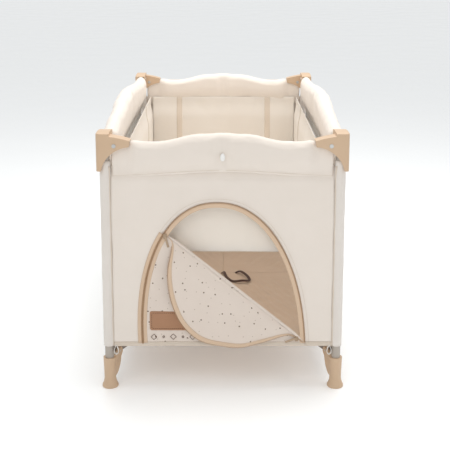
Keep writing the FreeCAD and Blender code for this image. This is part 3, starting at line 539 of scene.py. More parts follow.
coverSettings = {
    "end": {"length": 0.300, "tip": 0.245, "top": 0.7115, "crown": 0.0195, "crownFlat": 0.060,
            "crownReach": 0.175, "hem": 0.605, "hemRise": 0.014, "half": 0.0180, "thin": 0.0098,
            "bulge": 0.002},
    "side": {"length": 0.590, "tip": 0.533, "top": 0.7285, "crown": 0.030, "crownFlat": 0.0,
             "crownReach": 0.48, "hem": 0.606, "hemRise": 0.016, "half": 0.0180, "thin": 0.0098,
             "bulge": 0.007},
    "puff": {"voxel": 0.0055, "pressure": 4, "cap": 0.004},
}
rails = {"front": ("end", -legY, -1), "right": ("side", legX, -1), "back": ("end", legY, 1),
         "left": ("side", -legX, 1)}


# The section at each distance s from the middle is a capsule, thinner towards the hem, whose height follows
# the cover's top and hem lines; its outer side moves out by the bulge and both sides ripple along s
def coverHalf(rail, order):
    kind, place, firstSign = rails[rail]
    size = coverSettings[kind]
    sign = firstSign if order == "first" else -firstSign
    s = np.concatenate([[-0.008], np.linspace(-0.002, size["length"] - 0.004, 70), [size["length"]]])[:, None]
    turn = np.linspace(0, math.pi, 9)
    down = np.linspace(0, 1, 12)[1:-1]
    c = np.concatenate([np.cos(turn), -np.ones(10), -np.cos(turn), np.ones(10)])
    a = np.concatenate([np.ones(9), 1 - 2 * down, -np.ones(9), 2 * down - 1])
    b = np.concatenate([np.sin(turn), np.zeros(10), -np.sin(turn), np.zeros(10)])
    middle = 1 - smooth(size["crownFlat"], size["crownReach"], s)
    tuck = smooth(size["tip"] - 0.012, size["tip"] + 0.016, s)
    top = size["top"] + size["crown"] * middle - 0.006 * tuck
    hem = size["hem"] + size["hemRise"] * smooth(0, 1, 1 - s / size["length"])
    half = size["half"] + (size["thin"] - size["half"]) * tuck
    straight = (top - hem) / 2 - half
    height = (top + hem) / 2 + straight * a + half * b
    share = np.clip((height - hem) / (top - hem), 0, 1)
    width = half * c * (0.42 + 0.58 * smooth(0.02, 0.6, share))
    outside = 1 if place > 0 else -1
    soft = ripple(s * sign, height * 0.4, 3 + len(rail), 0.05, 0.22) * 0.0016 * (1 - tuck)
    out = 0.5 + 0.5 * c * outside
    across = place + width + outside * out * size["bulge"] * smooth(0, 1, 1 - s / size["length"]) + soft
    run = np.broadcast_to(s * sign, across.shape)
    points = np.stack([run, across, height] if kind == "end" else [across, run, height], -1)
    piece = surface(f"cover_{rail}_{order}", points, creamCanvas, wrapColumns=True, capped=True)
    axis = 0 if kind == "end" else 1

    def weight(start):
        far = np.abs(start[:, axis])
        return (smooth(0, 0.03, far) * (1 - smooth(size["tip"] - 0.03, size["tip"], far))
                * smooth(size["hem"] + 0.006, size["hem"] + 0.05, start[:, 2]))

    puff(piece, coverSettings["puff"], weight)

    def spot(far):
        run = far * sign
        return (run, place, size["top"]) if kind == "end" else (place, run, size["top"])

    def bend(made):
        if order == "first":
            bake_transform(made)
        else:
            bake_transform(made)

    bend(piece)
    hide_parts(f"rail_cover_{rail}")
    # two rows of stitches along the hem, on the outer face and on the inner one
    far = np.linspace(0.012, size["length"] - 0.006, 90)
    hemLine = size["hem"] + size["hemRise"] * smooth(0, 1, 1 - far / size["length"])
    for face, facing in (("outer", outside), ("inner", -outside)):
        bulge = (facing + outside) / 2 * size["bulge"] * smooth(0, 1, 1 - far / size["length"])
        away = place + facing * (size["half"] * 0.5 + 0.0006) + bulge
        up = hemLine + 0.010
        line = (far * sign, away, up) if kind == "end" else (away, far * sign, up)
        normal = (0, facing, 0) if kind == "end" else (facing, 0, 0)
        row = studRow(f"cover_{rail}_{order}_{face}_stitches", np.stack(line, -1), normal, 0.0052,
                      (0.0036, 0.0009, 0.0009), sewingThread, lift=-0.0003)
        bend(row)


for rail in rails:
    for order in ("first", "second"):
        coverHalf(rail, order)
print("rail covers made")


# Door end: the wall with its arched doorway, the zip round it, and the door folded down

doorSettings = {"middle": 0.003, "lean": -0.046, "half": 0.226, "crown": 0.538, "power": 2.17, "floor": 0.133,
                "top": 0.640, "bottom": 0.124, "side": legX - 0.0145, "foldHeight": 0.451}


# The doorway is a rounded half oval on a level sill, which leans a little to the left as it rises
def archPoint(turn, out=0.0):
    d = doorSettings
    rise = (d["crown"] - d["floor"] + out) * np.abs(np.sin(turn)) ** (2 / d["power"])
    across = (d["half"] + out) * np.sign(np.cos(turn)) * np.abs(np.cos(turn)) ** (2 / d["power"])
    return d["middle"] + d["lean"] * rise + across, d["floor"] + rise


# The left side of the arch at a height
def archLeft(z):
    d = doorSettings
    rise = np.clip(z - d["floor"], 0, d["crown"] - d["floor"])
    width = (1 - (rise / (d["crown"] - d["floor"])) ** d["power"]) ** (1 / d["power"])
    return d["middle"] + d["lean"] * rise - d["half"] * width


foldTop = np.array([float(archLeft(doorSettings["foldHeight"])), doorSettings["foldHeight"]])
foldEnd = np.array([doorSettings["middle"] + doorSettings["half"], doorSettings["floor"]])


# Offset of the hanging wall from its plane: tucked in under the cover's hem, soft folds, a slight belly
def wallDepth(x, z, seed, facing):
    top = doorSettings["top"]
    tucked = -0.010 * smooth(top - 0.045, top - 0.012, z)
    belly = (0.004 * np.cos(np.clip(x / 0.62, -0.5, 0.5) * math.pi) * smooth(0.12, 0.3, z)
             * (1 - smooth(0.45, 0.6, z)))
    soft = 0.0014 * ripple(x, z, seed, 0.06, 0.35) * (1 - smooth(top - 0.05, top, z))
    return facing * (tucked + belly + soft)


def doorWallPoint(x, z):
    y = doorPlane + wallDepth(x, z, 21, -1) + 0.003 * smooth(0.44, 0.7, np.hypot(x * 1.3, z - 0.3))
    return np.stack([x, y, z], -1)


# Distance from a point inside to the arch or its sill, along each direction
def archReach(origin, angle):
    x, z = archPoint(np.linspace(0, math.pi, 721))
    sill = np.linspace(x[-1], x[0], 181)
    x, z = np.concatenate([x, sill]) - origin[0], np.concatenate([z, np.full(181, z[0])]) - origin[1]
    return np.interp(angle, np.arctan2(z, x), np.hypot(x, z), period=math.tau)


def rectangleReach(origin, angle, left, right, bottom, top):
    dx, dz = np.cos(angle), np.sin(angle)
    across = np.where(dx > 0, right - origin[0], left - origin[0]) / np.where(np.abs(dx) < 1e-9, 1e-9, dx)
    upward = np.where(dz > 0, top - origin[1], bottom - origin[1]) / np.where(np.abs(dz) < 1e-9, 1e-9, dz)
    return np.minimum(np.abs(across), np.abs(upward))


# The wall round the doorway: rays from inside the door, each run from the arch to the wall's edge
def makeDoorWall():
    d = doorSettings
    origin = (d["middle"] - 0.010, 0.33)
    ends = [(side * d["side"], height) for side in (-1, 1) for height in (d["bottom"], d["top"])]
    ends += [(d["middle"] + side * d["half"], d["floor"]) for side in (-1, 1)]
    towardEnds = [math.atan2(z - origin[1], x - origin[0]) % math.tau for x, z in ends]
    angle = np.unique(np.concatenate([np.linspace(0, math.tau, 420, endpoint=False), towardEnds]))
    inner = archReach(origin, angle)
    outer = rectangleReach(origin, angle, -d["side"], d["side"], d["bottom"], d["top"])
    share = np.linspace(0, 1, 26)[None]
    reach = inner[:, None] + (outer - inner)[:, None] * share
    x = origin[0] + reach * np.cos(angle)[:, None]
    z = origin[1] + reach * np.sin(angle)[:, None]
    wall = surface("door_wall", doorWallPoint(x, z), creamCanvas, wrapRows=True, thickness=0.0016)
    follow("door", wall)
    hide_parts("panel_door_end")


# The part of the door that stays in its zip: rows at each height, from the arch's left side to the fold line
def makeDoorRest():
    d = doorSettings
    z = np.linspace(d["floor"], foldTop[1] - 0.001, 60)[:, None]
    arch = archLeft(z)
    fold = foldTop[0] + (z - foldTop[1]) * (foldEnd[0] - foldTop[0]) / (foldEnd[1] - foldTop[1])
    x = arch + (fold - arch) * np.linspace(0, 1, 50)[None]
    z = np.broadcast_to(z, x.shape)
    points = doorWallPoint(x, z) + np.array([0, -0.0006, 0])
    rest = surface("door_rest", points, printedLining, thickness=0.0016)
    follow("door", rest)


# Points on the arch, from the left end of the sill up over the crown to the right end
def archPath(out=0.0):
    return archPoint(np.linspace(math.pi, 0, 400), out)


def onWall(x, z, proud):
    points = doorWallPoint(x, z)
    points[..., 1] -= proud
    return points


zipSettings = {"tape": 0.013, "thick": 0.0016, "tooth": (0.0017, 0.0046, 0.0016), "pitch": 0.0028}


def makeZip():
    x, z = archPath()
    closedPart = (x < foldTop[0] + 0.004) & (z <= foldTop[1] + 0.001)
    up = (0, -1, 0)
    whole = evenly(onWall(x, z, 0.0018), 0.006)
    shut = evenly(onWall(x[closedPart], z[closedPart], 0.0018), 0.006)
    tape = zipSettings["tape"]
    thick, pitch = zipSettings["thick"], zipSettings["pitch"]
    shutTeeth = evenly(shut, 0.003) + np.array([0, -0.0006, 0])
    made = [sweep("zip_tape_wall", whole, up, stripProfile(tape, thick, shift=-tape / 2), zipTape),
            sweep("zip_tape_door", shut, up, stripProfile(tape, thick, shift=tape / 2), zipTape),
            studRow("zip_teeth_wall", whole, up, pitch, zipSettings["tooth"], coilNylon, lift=0.0004),
            studRow("zip_teeth_shut", shutTeeth, up, pitch, (0.0019, 0.0064, 0.0020), coilNylon, lift=0.0004)]
    x, z = archPath(tape - 0.0016)
    made.append(studRow("zip_tape_stitches", evenly(onWall(x, z, 0.0027), 0.004), up, 0.0044,
                        (0.0030, 0.0008, 0.0007), sewingThread))
    follow("door", *made)


# A smooth pillow shape: cosines and sines raised to a power below one square its outline off
def softBlock(name, centre, half, material, squareness=0.45, rows=14, columns=24):
    rise = np.linspace(-math.pi / 2 + 1e-3, math.pi / 2 - 1e-3, rows)[:, None]
    turn = (np.arange(columns) / columns * math.tau)[None]

    def power(value):
        return np.sign(value) * np.abs(value) ** squareness

    x = centre[0] + half[0] * power(np.cos(rise)) * power(np.cos(turn))
    y = centre[1] + half[1] * power(np.cos(rise)) * power(np.sin(turn))
    z = centre[2] + half[2] * power(np.sin(rise)) * np.ones_like(turn)
    return surface(name, np.stack([x, y, z], -1), material, wrapColumns=True, capped=True)


# Zip slider: a cast body, a bridge over it and a hanging pull
def makeSlider(name, x, z, lean):
    y = doorWallPoint(np.array(x), np.array(z))[1] - 0.0046
    body = softBlock(f"{name}_body", (x, y, z), (0.0052, 0.0024, 0.0075), castZinc)
    bridge = softBlock(f"{name}_bridge", (x, y - 0.0028, z + 0.001), (0.0016, 0.0016, 0.0048), castZinc)
    t = np.linspace(0, 1, 14)
    length = 0.034 * t
    run = np.stack([x + length * math.sin(lean), y - 0.0040 + 0.0012 * t,
                    z + 0.003 - length * math.cos(lean)], -1)
    pull = sweep(f"{name}_pull", run, (0, -1, 0), stripProfile(0.0062, 0.0016), castZinc)
    follow("door", body, bridge, pull)
    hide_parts("zip_sliders")


# Free edge of the folded door: a smooth curve through listed places, from the slider round to the sill
flapEdge = throughPoints([tuple(foldTop), (-0.142, 0.432), (-0.139, 0.405), (-0.147, 0.358), (-0.147, 0.310),
                          (-0.136, 0.255), (-0.113, 0.200), (-0.075, 0.159), (-0.025, 0.138), (0.035, 0.131),
                          (0.100, 0.141), (0.152, 0.154), (0.186, 0.158), (0.210, 0.147), tuple(foldEnd)])


# The folded door: u runs along the fold line, v from the roll over the fold down to the free edge. It stands
# off the wall by a bellied amount, with soft waves that grow towards the edge.
def flapSurface(u, v):
    reach = np.concatenate([[0], np.cumsum(np.linalg.norm(np.diff(flapEdge, axis=0), axis=1))])
    edge = np.stack([np.interp(u * reach[-1], reach, flapEdge[:, k]) for k in range(2)], -1)
    fold = foldTop + (foldEnd - foldTop) * u[..., None]
    flat = fold + (edge - fold) * v[..., None]
    depth = np.linalg.norm(edge - fold, axis=-1) * v
    opened = smooth(0, 0.10, u) * (1 - smooth(0.90, 1.0, u))
    roll = 0.0075 * opened * smooth(0, 0.045, depth)
    belly = 0.010 * opened * np.sin(np.clip(depth / 0.30, 0, 1) * math.pi)
    waves = 0.0045 * opened * v * ripple(u * 0.55, depth * 0.35, 8, 0.07, 0.22)
    y = doorPlane - 0.0026 - roll - belly - waves
    return np.stack([flat[..., 0], y, flat[..., 1]], -1)


# The roll over the fold: an arc from the wall's plane up over the fold line and down to the front of the flap
def makeFlap():
    u = np.linspace(0, 1, 150)[:, None]
    v = np.linspace(0, 1, 56)[None] ** 1.15
    u, v = np.broadcast_arrays(u, v)
    front = flapSurface(u, v)
    along = foldEnd - foldTop
    along = along / np.linalg.norm(along)
    beyond = np.array([-along[1], along[0]])
    if beyond[1] < 0:
        beyond = -beyond
    opened = (smooth(0, 0.10, u[:, :1]) * (1 - smooth(0.90, 1.0, u[:, :1])))
    turn = np.linspace(0, math.pi, 9)[None, :-1]
    radius = (0.0008 + 0.0042 * opened)
    lift = radius * 1.3 * np.sin(turn)
    away = radius * (1 - np.cos(turn))
    fold = foldTop + (foldEnd - foldTop) * u[:, :1, None]
    flat = fold + beyond * (lift + 0.001)[..., None]
    depth = np.broadcast_to(doorPlane + 0.001 - away, flat[..., 0].shape)
    roll = np.stack([flat[..., 0], depth, flat[..., 1]], -1)
    flap = surface("door_flap_cloth", np.concatenate([roll, front], 1), printedLining, thickness=0.0024)
    follow("flap", flap)
    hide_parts("door_flap")
    # the zip tape sewn to the free edge, and its teeth along the very edge
    u = np.linspace(0.004, 0.996, 260)
    rim = flapSurface(u, np.ones_like(u))
    inside = flapSurface(u, np.full_like(u, 0.90))
    inward = inside - rim
    inward /= np.linalg.norm(inward, axis=1, keepdims=True)
    up = pathFrames(rim, (0, -1, 0))[3]
    tape = zipSettings["tape"]
    width = stripProfile(tape, 0.0018)
    points = (rim[:, None] + inward[:, None] * (width[None, :, 0:1] + tape / 2 - 0.002)
              + up[:, None] * (width[None, :, 1:2] + 0.0018))
    strip = surface("door_flap_tape", points, zipTape, wrapColumns=True, capped=True)
    teeth = studRow("door_flap_teeth", rim - inward * 0.003, (0, -1, 0), zipSettings["pitch"],
                    zipSettings["tooth"], coilNylon, lift=0.0006)
    sewn = studRow("door_flap_stitches", rim + inward * (tape - 0.0036), (0, -1, 0), 0.0044,
                   (0.0030, 0.0008, 0.0007), sewingThread, lift=0.0026)
    follow("flap", strip, teeth, sewn)


# Sewn patch on the door: a thin pillow with dark stitches inside its edge, and a band of small diamonds
patchSettings = {"middle": (-0.150, 0.199), "half": (0.053, 0.028), "corner": 0.006}


def roundedLoop(middle, half, corner, count=12):
    turn = np.linspace(0, math.pi / 2, count)
    parts = []
    for quarter, (sx, sz) in enumerate(((1, 1), (-1, 1), (-1, -1), (1, -1))):
        angle = turn + quarter * math.pi / 2
        parts.append(np.stack([middle[0] + sx * (half[0] - corner) + corner * np.cos(angle),
                               middle[1] + sz * (half[1] - corner) + corner * np.sin(angle)], -1))
    return np.concatenate(parts)


def makePatch():
    p = patchSettings
    outline = roundedLoop(p["middle"], p["half"], p["corner"])
    centre = np.array(p["middle"])
    share = np.array([1.0, 1.0, 0.97, 0.9, 0.6, 0.3, 0.02])
    lift = np.array([0.0010, 0.0022, 0.0030, 0.0031, 0.0031, 0.0031, 0.0031])
    flat = centre + (outline[None] - centre) * share[:, None, None]
    points = onWall(flat[..., 0], flat[..., 1], 0)
    points[..., 1] -= lift[:, None]
    patch = surface("door_patch", points, suede, wrapColumns=True, capped=True)
    inner = roundedLoop(p["middle"], (p["half"][0] - 0.005, p["half"][1] - 0.005), p["corner"])
    inner = np.concatenate([inner, inner[:1]])
    stitches = studRow("door_patch_stitches", onWall(inner[:, 0], inner[:, 1], 0.0031), (0, -1, 0), 0.0058,
                       (0.0040, 0.0011, 0.0008), brownThread)
    made = [patch, stitches]
    for number in range(5):
        half = (0.0080, 0.0032)[number % 2]
        diamond = roundedLoop((-0.192 + 0.027 * number, 0.151), (half, half), half * 0.96, 2)
        loop = np.concatenate([diamond, diamond[:1]])
        made.append(sweep(f"door_diamond_{number}", onWall(loop[:, 0], loop[:, 1], 0.0022)[:-1], (0, -1, 0),
                          stripProfile(0.0013, 0.0010, 6), brownThread, closed=True))
    follow("door", *made)


# A folded hem along the bottom of a wall, and its row of stitches
def makeHem(name, path, normal, cloth):
    band = sweep(f"{name}_hem", path, normal, stripProfile(0.0135, 0.0042), cloth)
    sewn = path + 0.0014 * np.array(normal) + np.array([0, 0, 0.0062])
    row = studRow(f"{name}_hem_stitches", sewn, normal, 0.005, (0.0034, 0.0009, 0.0012), sewingThread)
    follow(name, band, row)


def makeEndHems():
    d = doorSettings
    x = np.linspace(-d["side"], d["side"], 120)
    low = np.full_like(x, d["bottom"] + 0.006)
    for name, plane, facing, seed in (("door", doorPlane, -1, 21), ("far", farPlane, 1, 22)):
        path = np.stack([x, plane + wallDepth(x, low, seed, facing), low], -1)
        makeHem(name, path, (0, facing, 0), hemCloth)


makeDoorWall()
makeDoorRest()
makeZip()
makeSlider("slider_top", -0.157, 0.445, 0.25)
makeSlider("slider_low", 0.206, 0.147, -1.2)
makeFlap()
makePatch()
makeEndHems()
print("door end made")


# Far end, long sides and leg sleeves

def makeFarWall():
    d = doorSettings
    x, z = grid(-d["side"], d["side"], 110, d["bottom"], d["top"], 90)
    y = farPlane + wallDepth(x, z, 22, 1)
    wall = surface("far_wall", np.stack([x, y, z], -1), creamCanvas, thickness=0.0016)
    follow("far", wall)
    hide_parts("panel_far_end")


sideSettings = {"windowHalf": legY - 0.070, "windowLow": 0.184, "windowHigh": 0.572, "corner": 0.045,
                "sewn": 0.008}


# A long wall: rays from the window's middle, each run from the window's rounded edge to the wall's edge
def makeSideWall(name, sign):
    d, w = doorSettings, sideSettings
    middle = (w["windowLow"] + w["windowHigh"]) / 2
    halfHigh = (w["windowHigh"] - w["windowLow"]) / 2
    edge = roundedLoop((0, middle), (w["windowHalf"], halfHigh), w["corner"], 24)
    edge = evenly(np.concatenate([np.c_[edge, np.zeros(len(edge))], [[*edge[0], 0]]]), 0.008)[:-1, :2]
    length = legY - 0.0145
    corner = w["corner"]
    outer = edge.copy()
    rise = np.clip((edge[:, 1] - (w["windowHigh"] - corner)) / corner, 0, 1)
    fall = np.clip(((w["windowLow"] + corner) - edge[:, 1]) / corner, 0, 1)
    outer[:, 1] = edge[:, 1] + rise * (d["top"] - w["windowHigh"]) - fall * (w["windowLow"] - d["bottom"])
    side = np.clip((np.abs(edge[:, 0]) - (w["windowHalf"] - corner)) / corner, 0, 1)
    outer[:, 0] = np.sign(edge[:, 0]) * (np.abs(edge[:, 0]) + side * (length - w["windowHalf"]))
    outer[:, 1] = np.where(rise > 0.6, d["top"] - (1 - rise) * 0.02, outer[:, 1])
    outer[:, 1] = np.where(fall > 0.6, d["bottom"] + (1 - fall) * 0.02, outer[:, 1])
    share = np.linspace(0, 1, 12)[None, :, None]
    flat = edge[:, None] + (outer - edge)[:, None] * share
    y, z = flat[..., 0], flat[..., 1]
    x = sign * sidePlane + wallDepth(y * 0.5, z, 31 + sign, sign)
    wall = surface(f"{name}_wall", np.stack([x, y, z], -1), whiteCanvas, wrapRows=True, thickness=0.0016)
    y, z = grid(-w["windowHalf"] - w["sewn"], w["windowHalf"] + w["sewn"], 130,
                w["windowLow"] - w["sewn"], w["windowHigh"] + w["sewn"], 50)
    x = sign * (sidePlane - 0.0012) + wallDepth(y * 0.5, z, 31 + sign, sign)
    net = surface(f"{name}_net", np.stack([x, y, z], -1), sideNet, thickness=0.0004)
    path = np.stack([sign * sidePlane + wallDepth(edge[:, 0] * 0.5, edge[:, 1], 31 + sign, sign),
                     edge[:, 0], edge[:, 1]], -1)
    rim = sweep(f"{name}_window_binding", path, (sign, 0, 0), stripProfile(0.014, 0.0040), bindingWhite,
                closed=True)
    y = np.linspace(-length, length, 200)
    low = np.full_like(y, d["bottom"] + 0.006)
    path = np.stack([sign * sidePlane + wallDepth(y * 0.5, low, 31 + sign, sign), y, low], -1)
    makeHem(name, path, (sign, 0, 0), bindingWhite)
    follow(name, wall, net, rim)
    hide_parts(f"panel_{name}")
    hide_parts(f"mesh_{name}")


sleeveSettings = {"radius": 0.0148, "low": 0.124, "high": 0.655, "crease": 0.0005, "taper": 0.0015}


# Cloth sleeve round a leg: a tube that creases a little, with a flat seam flange towards the end wall
def makeSleeve(corner, sx, sy):
    w = sleeveSettings
    z = np.linspace(w["low"], w["high"], 60)[:, None]
    turn = (np.arange(36) / 36 * math.tau)[None]
    soft = w["crease"] * ripple(turn * 0.02, z, 40 + sx + 3 * sy, 0.03, 0.2)
    radius = w["radius"] + soft - w["taper"] * smooth(0.61, 0.65, z)
    x = sx * legX + radius * np.cos(turn)
    y = sy * legY + radius * np.sin(turn)
    points = np.stack([x, y, np.broadcast_to(z, x.shape)], -1)
    # the greyer canvas is painted shade of the round sleeve
    sleeve = surface(f"sleeve_{corner}", points, shadedSleeveCanvas, wrapColumns=True, thickness=0.0012)
    high = np.linspace(w["low"] + 0.001, w["high"] - 0.015, 50)
    seam = np.stack([0 * high + sx * (legX - 0.0105), 0 * high + sy * (legY + 0.0092), high], -1)
    piping = sweep(f"sleeve_seam_{corner}", seam, (0, sy, 0), stripProfile(0.0075, 0.0030), hemCloth)
    # corner strap: a loop of webbing that hangs from under the hem beside the foot
    t = np.linspace(0, 1, 24)
    loop = np.stack([sx * (legX - 0.020 - 0.006 * np.sin(t * math.tau)), sy * (legY + 0.008) + 0 * t,
                     0.128 - 0.028 * np.sin(t * math.pi)], -1)
    strap = sweep(f"strap_{corner}", loop, (0, sy, 0), stripProfile(0.0018, 0.010), whiteWebbing)
    for piece in (sleeve, piping, strap):
        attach(piece, f"corner_{corner}")


makeFarWall()
makeSideWall("left", -1)
makeSideWall("right", 1)
for corner, (sx, sy) in corners.items():
    makeSleeve(corner, sx, sy)
print("walls made")


# Hanging bed: four walls and a bottom, with a quilted mattress in four folding parts

bedLow, bedHigh = boxOf("upper_level")
bedSettings = {"halfX": bedHigh[0] - 0.001, "halfY": bedHigh[1] - 0.001, "bottom": bedLow[2] + 0.001,
               "top": 0.640}


# A hanging wall: it leans out to the cover's hem at the top and ripples more towards the bottom
def bedWall(name, endWall, sign, where):
    b = bedSettings
    half = b["halfX"] if endWall else b["halfY"] - 0.004
    place = b["halfY"] if endWall else b["halfX"]
    run, z = grid(-half, half, 100, b["bottom"], b["top"], 50)
    lean = 0.008 * smooth(0.56, 0.62, z)
    soft = 0.0022 * ripple(run, z * 0.5, 51 + len(name), 0.08, 0.3)
    across = sign * (place + lean - np.abs(soft) * 0.8)
    points = np.stack([run, across, z] if endWall else [across, run, z], -1)
    wall = surface(name, points, bedLining, thickness=0.0016)
    follow(where, wall)
    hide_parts("upper_level")
    made = []
    for number, spot in enumerate((-0.62, 0.62)):
        high = np.linspace(b["bottom"] + 0.004, b["top"], 40)
        level = np.full_like(high, spot * half)
        out = sign * (place - 0.0016 + 0.008 * smooth(0.56, 0.62, high))
        path = np.stack([level, out, high] if endWall else [out, level, high], -1)
        normal = (0, -sign, 0) if endWall else (-sign, 0, 0)
        made.append(sweep(f"{name}_band_{number}", path, normal, stripProfile(0.022, 0.0022), hemCloth))
    follow(where, *made)


for where, endWall, sign in (("door", True, -1), ("far", True, 1), ("left", False, -1), ("right", False, 1)):
    bedWall(f"bed_wall_{where}", endWall, sign, where)


def makeBedBottom():
    b = bedSettings
    x, y = grid(-b["halfX"], b["halfX"], 60, -b["halfY"], b["halfY"], 110)
    sag = 0.0035 * np.cos(x / b["halfX"] * math.pi / 2) * np.cos(y / b["halfY"] * math.pi / 2)
    z = b["bottom"] - sag * 0.3 + 0.0006 * ripple(x, y, 61, 0.1, 0.4)
    floor = surface("bed_bottom", np.stack([x, y, z], -1), bedLining, thickness=0.0016)
    follow("left", floor)
    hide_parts("upper_level")


makeBedBottom()

mattressLow, mattressHigh = boxOf("mattress")
mattressSettings = {"seam": 0.003, "puff": {"voxel": 0.0060, "pressure": 4, "cap": 0.007}}


# One part of the mattress: a flat pillow with rounded edges, blown up a little and then quilted
def mattressPart(number):
    m = mattressSettings
    length = (mattressHigh[1] - mattressLow[1] - 3 * m["seam"]) / 4
    low = mattressLow[1] + number * (length + m["seam"])
    middle = np.array([0, low + length / 2, (mattressLow[2] + mattressHigh[2]) / 2])
    half = np.array([mattressHigh[0] - 0.002, length / 2 - 0.0004,
                     (mattressHigh[2] - mattressLow[2]) / 2 - 0.004])
    part = softBlock(f"mattress_part_{number}", middle, half, ticking, 0.16, 26, 120)

    def weight(start):
        near = np.minimum(half[0] - np.abs(start[:, 0]), half[1] - np.abs(start[:, 1] - middle[1]))
        up = start[:, 2] > middle[2] - 0.002
        return smooth(0, 0.05, near) * np.where(up, 1.0, 0.25)

    puff(part, m["puff"], weight)
    coords = np.zeros(len(part.data.vertices) * 3, np.float32)
    part.data.vertices.foreach_get("co", coords)
    coords = coords.reshape(-1, 3)
    # quilting: channels 68 mm apart pull the top down along crossing lines
    spacing = 0.068
    diagonal = (coords[:, 0] + coords[:, 1]) / spacing
    other = (coords[:, 0] - coords[:, 1]) / spacing
    line = np.minimum(np.abs(diagonal - np.round(diagonal)), np.abs(other - np.round(other))) * spacing
    top = coords[:, 2] > middle[2] + 0.003
    coords[:, 2] -= np.where(top, 0.0030 * np.exp(-(line / 0.006) ** 2), 0)
    part.data.vertices.foreach_set("co", coords.ravel())
    part.data.update()
    edge = roundedLoop((0, middle[1]), (half[0] - 0.001, half[1] - 0.001), 0.012, 10)
    path = evenly(np.c_[np.concatenate([edge, edge[:1]]), np.full(len(edge) + 1, middle[2])], 0.012)[:-1]
    turn = np.arange(8) / 8 * math.tau
    piping = sweep(f"mattress_piping_{number}", path, (0, 0, 1),
                   np.stack([0.0026 * np.cos(turn), 0.0026 * np.sin(turn)], -1), hemCloth, closed=True)
    for piece in (part, piping):
        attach(piece, "mattress")
        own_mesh(piece)
        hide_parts("mattress")


for number in range(4):
    mattressPart(number)
print("bed made")


# Lower floor: four quarters, one with each bottom arm, and the pull loop that comes up through the slit

floorHigh = boxOf("lower_floor")[1]


def makeFloorQuarter(corner, sx, sy):
    x, y = grid(0, floorHigh[0], 60, 0, floorHigh[1], 110)
    # wrinkles run from the hub to the corner and cross-wise near the middle
    toward = (x * 0.902 - y * 0.431)
    soft = (0.0022 * np.sin(toward / 0.052 * math.tau + 0.8) * np.exp(-((x - 0.13) / 0.16) ** 2)
            * smooth(0.03, 0.12, y) * (1 - smooth(0.40, 0.56, y)))
    uneven = 0.0012 * ripple(x * sx, y * sy, 71, 0.05, 0.2) * smooth(0, 0.05, x) * smooth(0, 0.05, y)
    height = floorHigh[2] + 0.0006 + np.abs(soft) * 1.3 + uneven
    border = smooth(0, 0.012, floorHigh[0] - x) * smooth(0, 0.012, floorHigh[1] - y)
    z = height - 0.0014 * (1 - border)
    points = np.stack([x * sx, y * sy, z], -1)
    quarter = surface(f"floor_{corner}", points, floorCloth, thickness=0.0022)
    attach(quarter, f"arm_{corner}")
    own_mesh(quarter)
    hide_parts("lower_floor")


for corner, (sx, sy) in corners.items():
    makeFloorQuarter(corner, sx, sy)


# The loop's path: up out of the slit at one end, over in a low arch to the door, and down at the other end
def makePullLoop():
    path = throughPoints([(-0.008, 0.000, 0.116), (0.002, -0.020, 0.132), (0.012, -0.068, 0.130),
                          (0.032, -0.104, 0.129), (0.062, -0.116, 0.135), (0.086, -0.102, 0.131),
                          (0.082, -0.064, 0.132), (0.058, -0.018, 0.133), (0.034, 0.000, 0.116)], 12)
    normal = np.tile([0.0, -0.45, 0.9], (len(path), 1))
    loop = sweep("hub_loop_webbing", path, normal, stripProfile(0.010, 0.0020), brownWebbing)
    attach(loop, "hub")
    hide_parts("hub_pull_loop")


makePullLoop()


# Woven badge on the front cover: a small upright oval with a raised rim
def makeBadge():
    turn = np.linspace(0, math.tau, 33)[:-1]
    plane = -legY - coverSettings["end"]["half"] - coverSettings["end"]["bulge"] - 0.0052
    share = np.array([1.0, 1.0, 0.92, 0.8, 0.4, 0.02])
    lift = np.array([-0.004, 0.0008, 0.0014, 0.0009, 0.0009, 0.0009])
    x = share[:, None] * 0.0065 * np.cos(turn)[None]
    z = 0.668 + share[:, None] * 0.0105 * np.sin(turn)[None]
    y = plane - lift[:, None] + 0 * x
    badge = surface("cover_badge", np.stack([x, y, z], -1), wovenBadge, wrapColumns=True, capped=True)
    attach(badge, "latch_front")


makeBadge()
print("floor and trim made")


# Stage and light

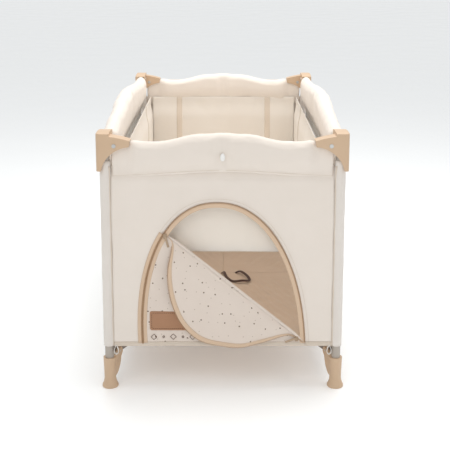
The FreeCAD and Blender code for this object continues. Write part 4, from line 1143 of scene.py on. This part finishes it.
def makeStage():
    material, tree = startMaterial("painted_studio_floor")
    place = addNode(tree, "ShaderNodeTexCoord").outputs["Object"]
    dust = addNode(tree, "ShaderNodeTexNoise", inputs={"Vector": place, "Scale": 3, "Detail": 3})
    gloss = addNode(tree, "ShaderNodeMapRange", inputs={0: dust.outputs[0], 3: 0.16, 4: 0.24})
    shader = addNode(tree, "ShaderNodeBsdfPrincipled", inputs={
        "Base Color": paint("#F7F8F8"), "Roughness": gloss.outputs[0], "IOR": 1.4,
        "Emission Color": paint("#FFFFFF"), "Emission Strength": 0.17})
    finishMaterial(tree, shader.outputs[0])
    x, y = grid(-40, 40, 9, -12, 60, 9)
    floor = surface("studio_floor", np.stack([x, y, 0 * x], -1), material)


def makeLight(name, place, target, size, power, colour):
    data = bpy.data.lights.new(name, "AREA")
    data.shape = "RECTANGLE"
    data.size, data.size_y = size
    data.energy = power
    data.color = paint(colour)[:3]
    light = bpy.data.objects.new(name, data)
    light.location = place
    direction = np.array(target, float) - np.array(place, float)
    yaw = math.atan2(direction[0], direction[1])
    pitch = math.atan2(direction[2], math.hypot(direction[0], direction[1]))
    light.rotation_euler = (math.pi / 2 + pitch, 0, -yaw)
    scene.collection.objects.link(light)


makeStage()
world = bpy.data.worlds.new("studio")
world.use_nodes = True
world.node_tree.nodes.clear()
sky = addNode(world.node_tree, "ShaderNodeBackground", inputs={"Color": paint("#FAFCFD"), "Strength": 0.68})
addNode(world.node_tree, "ShaderNodeOutputWorld", inputs={"Surface": sky.outputs[0]})
scene.world = world
makeLight("key", (-0.9, -2.7, 3.0), (0, 0.1, 0.5), (1.8, 1.8), 17, "#FFFDFB")
makeLight("top", (0.2, 0.3, 2.6), (0, 0.15, 0), (2.0, 2.0), 48, "#FFFEFC")
makeLight("low", (0.6, -3.0, 0.9), (0, 0, 0.2), (1.4, 0.9), 3.5, "#FFFEFC")
makeLight("fill", (2.6, -0.6, 1.6), (0, 0, 0.4), (1.6, 1.6), 6, "#F8FAFF")
# Light that the thin walls let in below the bed
makeLight("under", (0.02, -0.1, 0.382), (0.02, -0.1001, 0), (0.5, 1.0), 0.8, "#FFFAF4")
print("stage and light made")
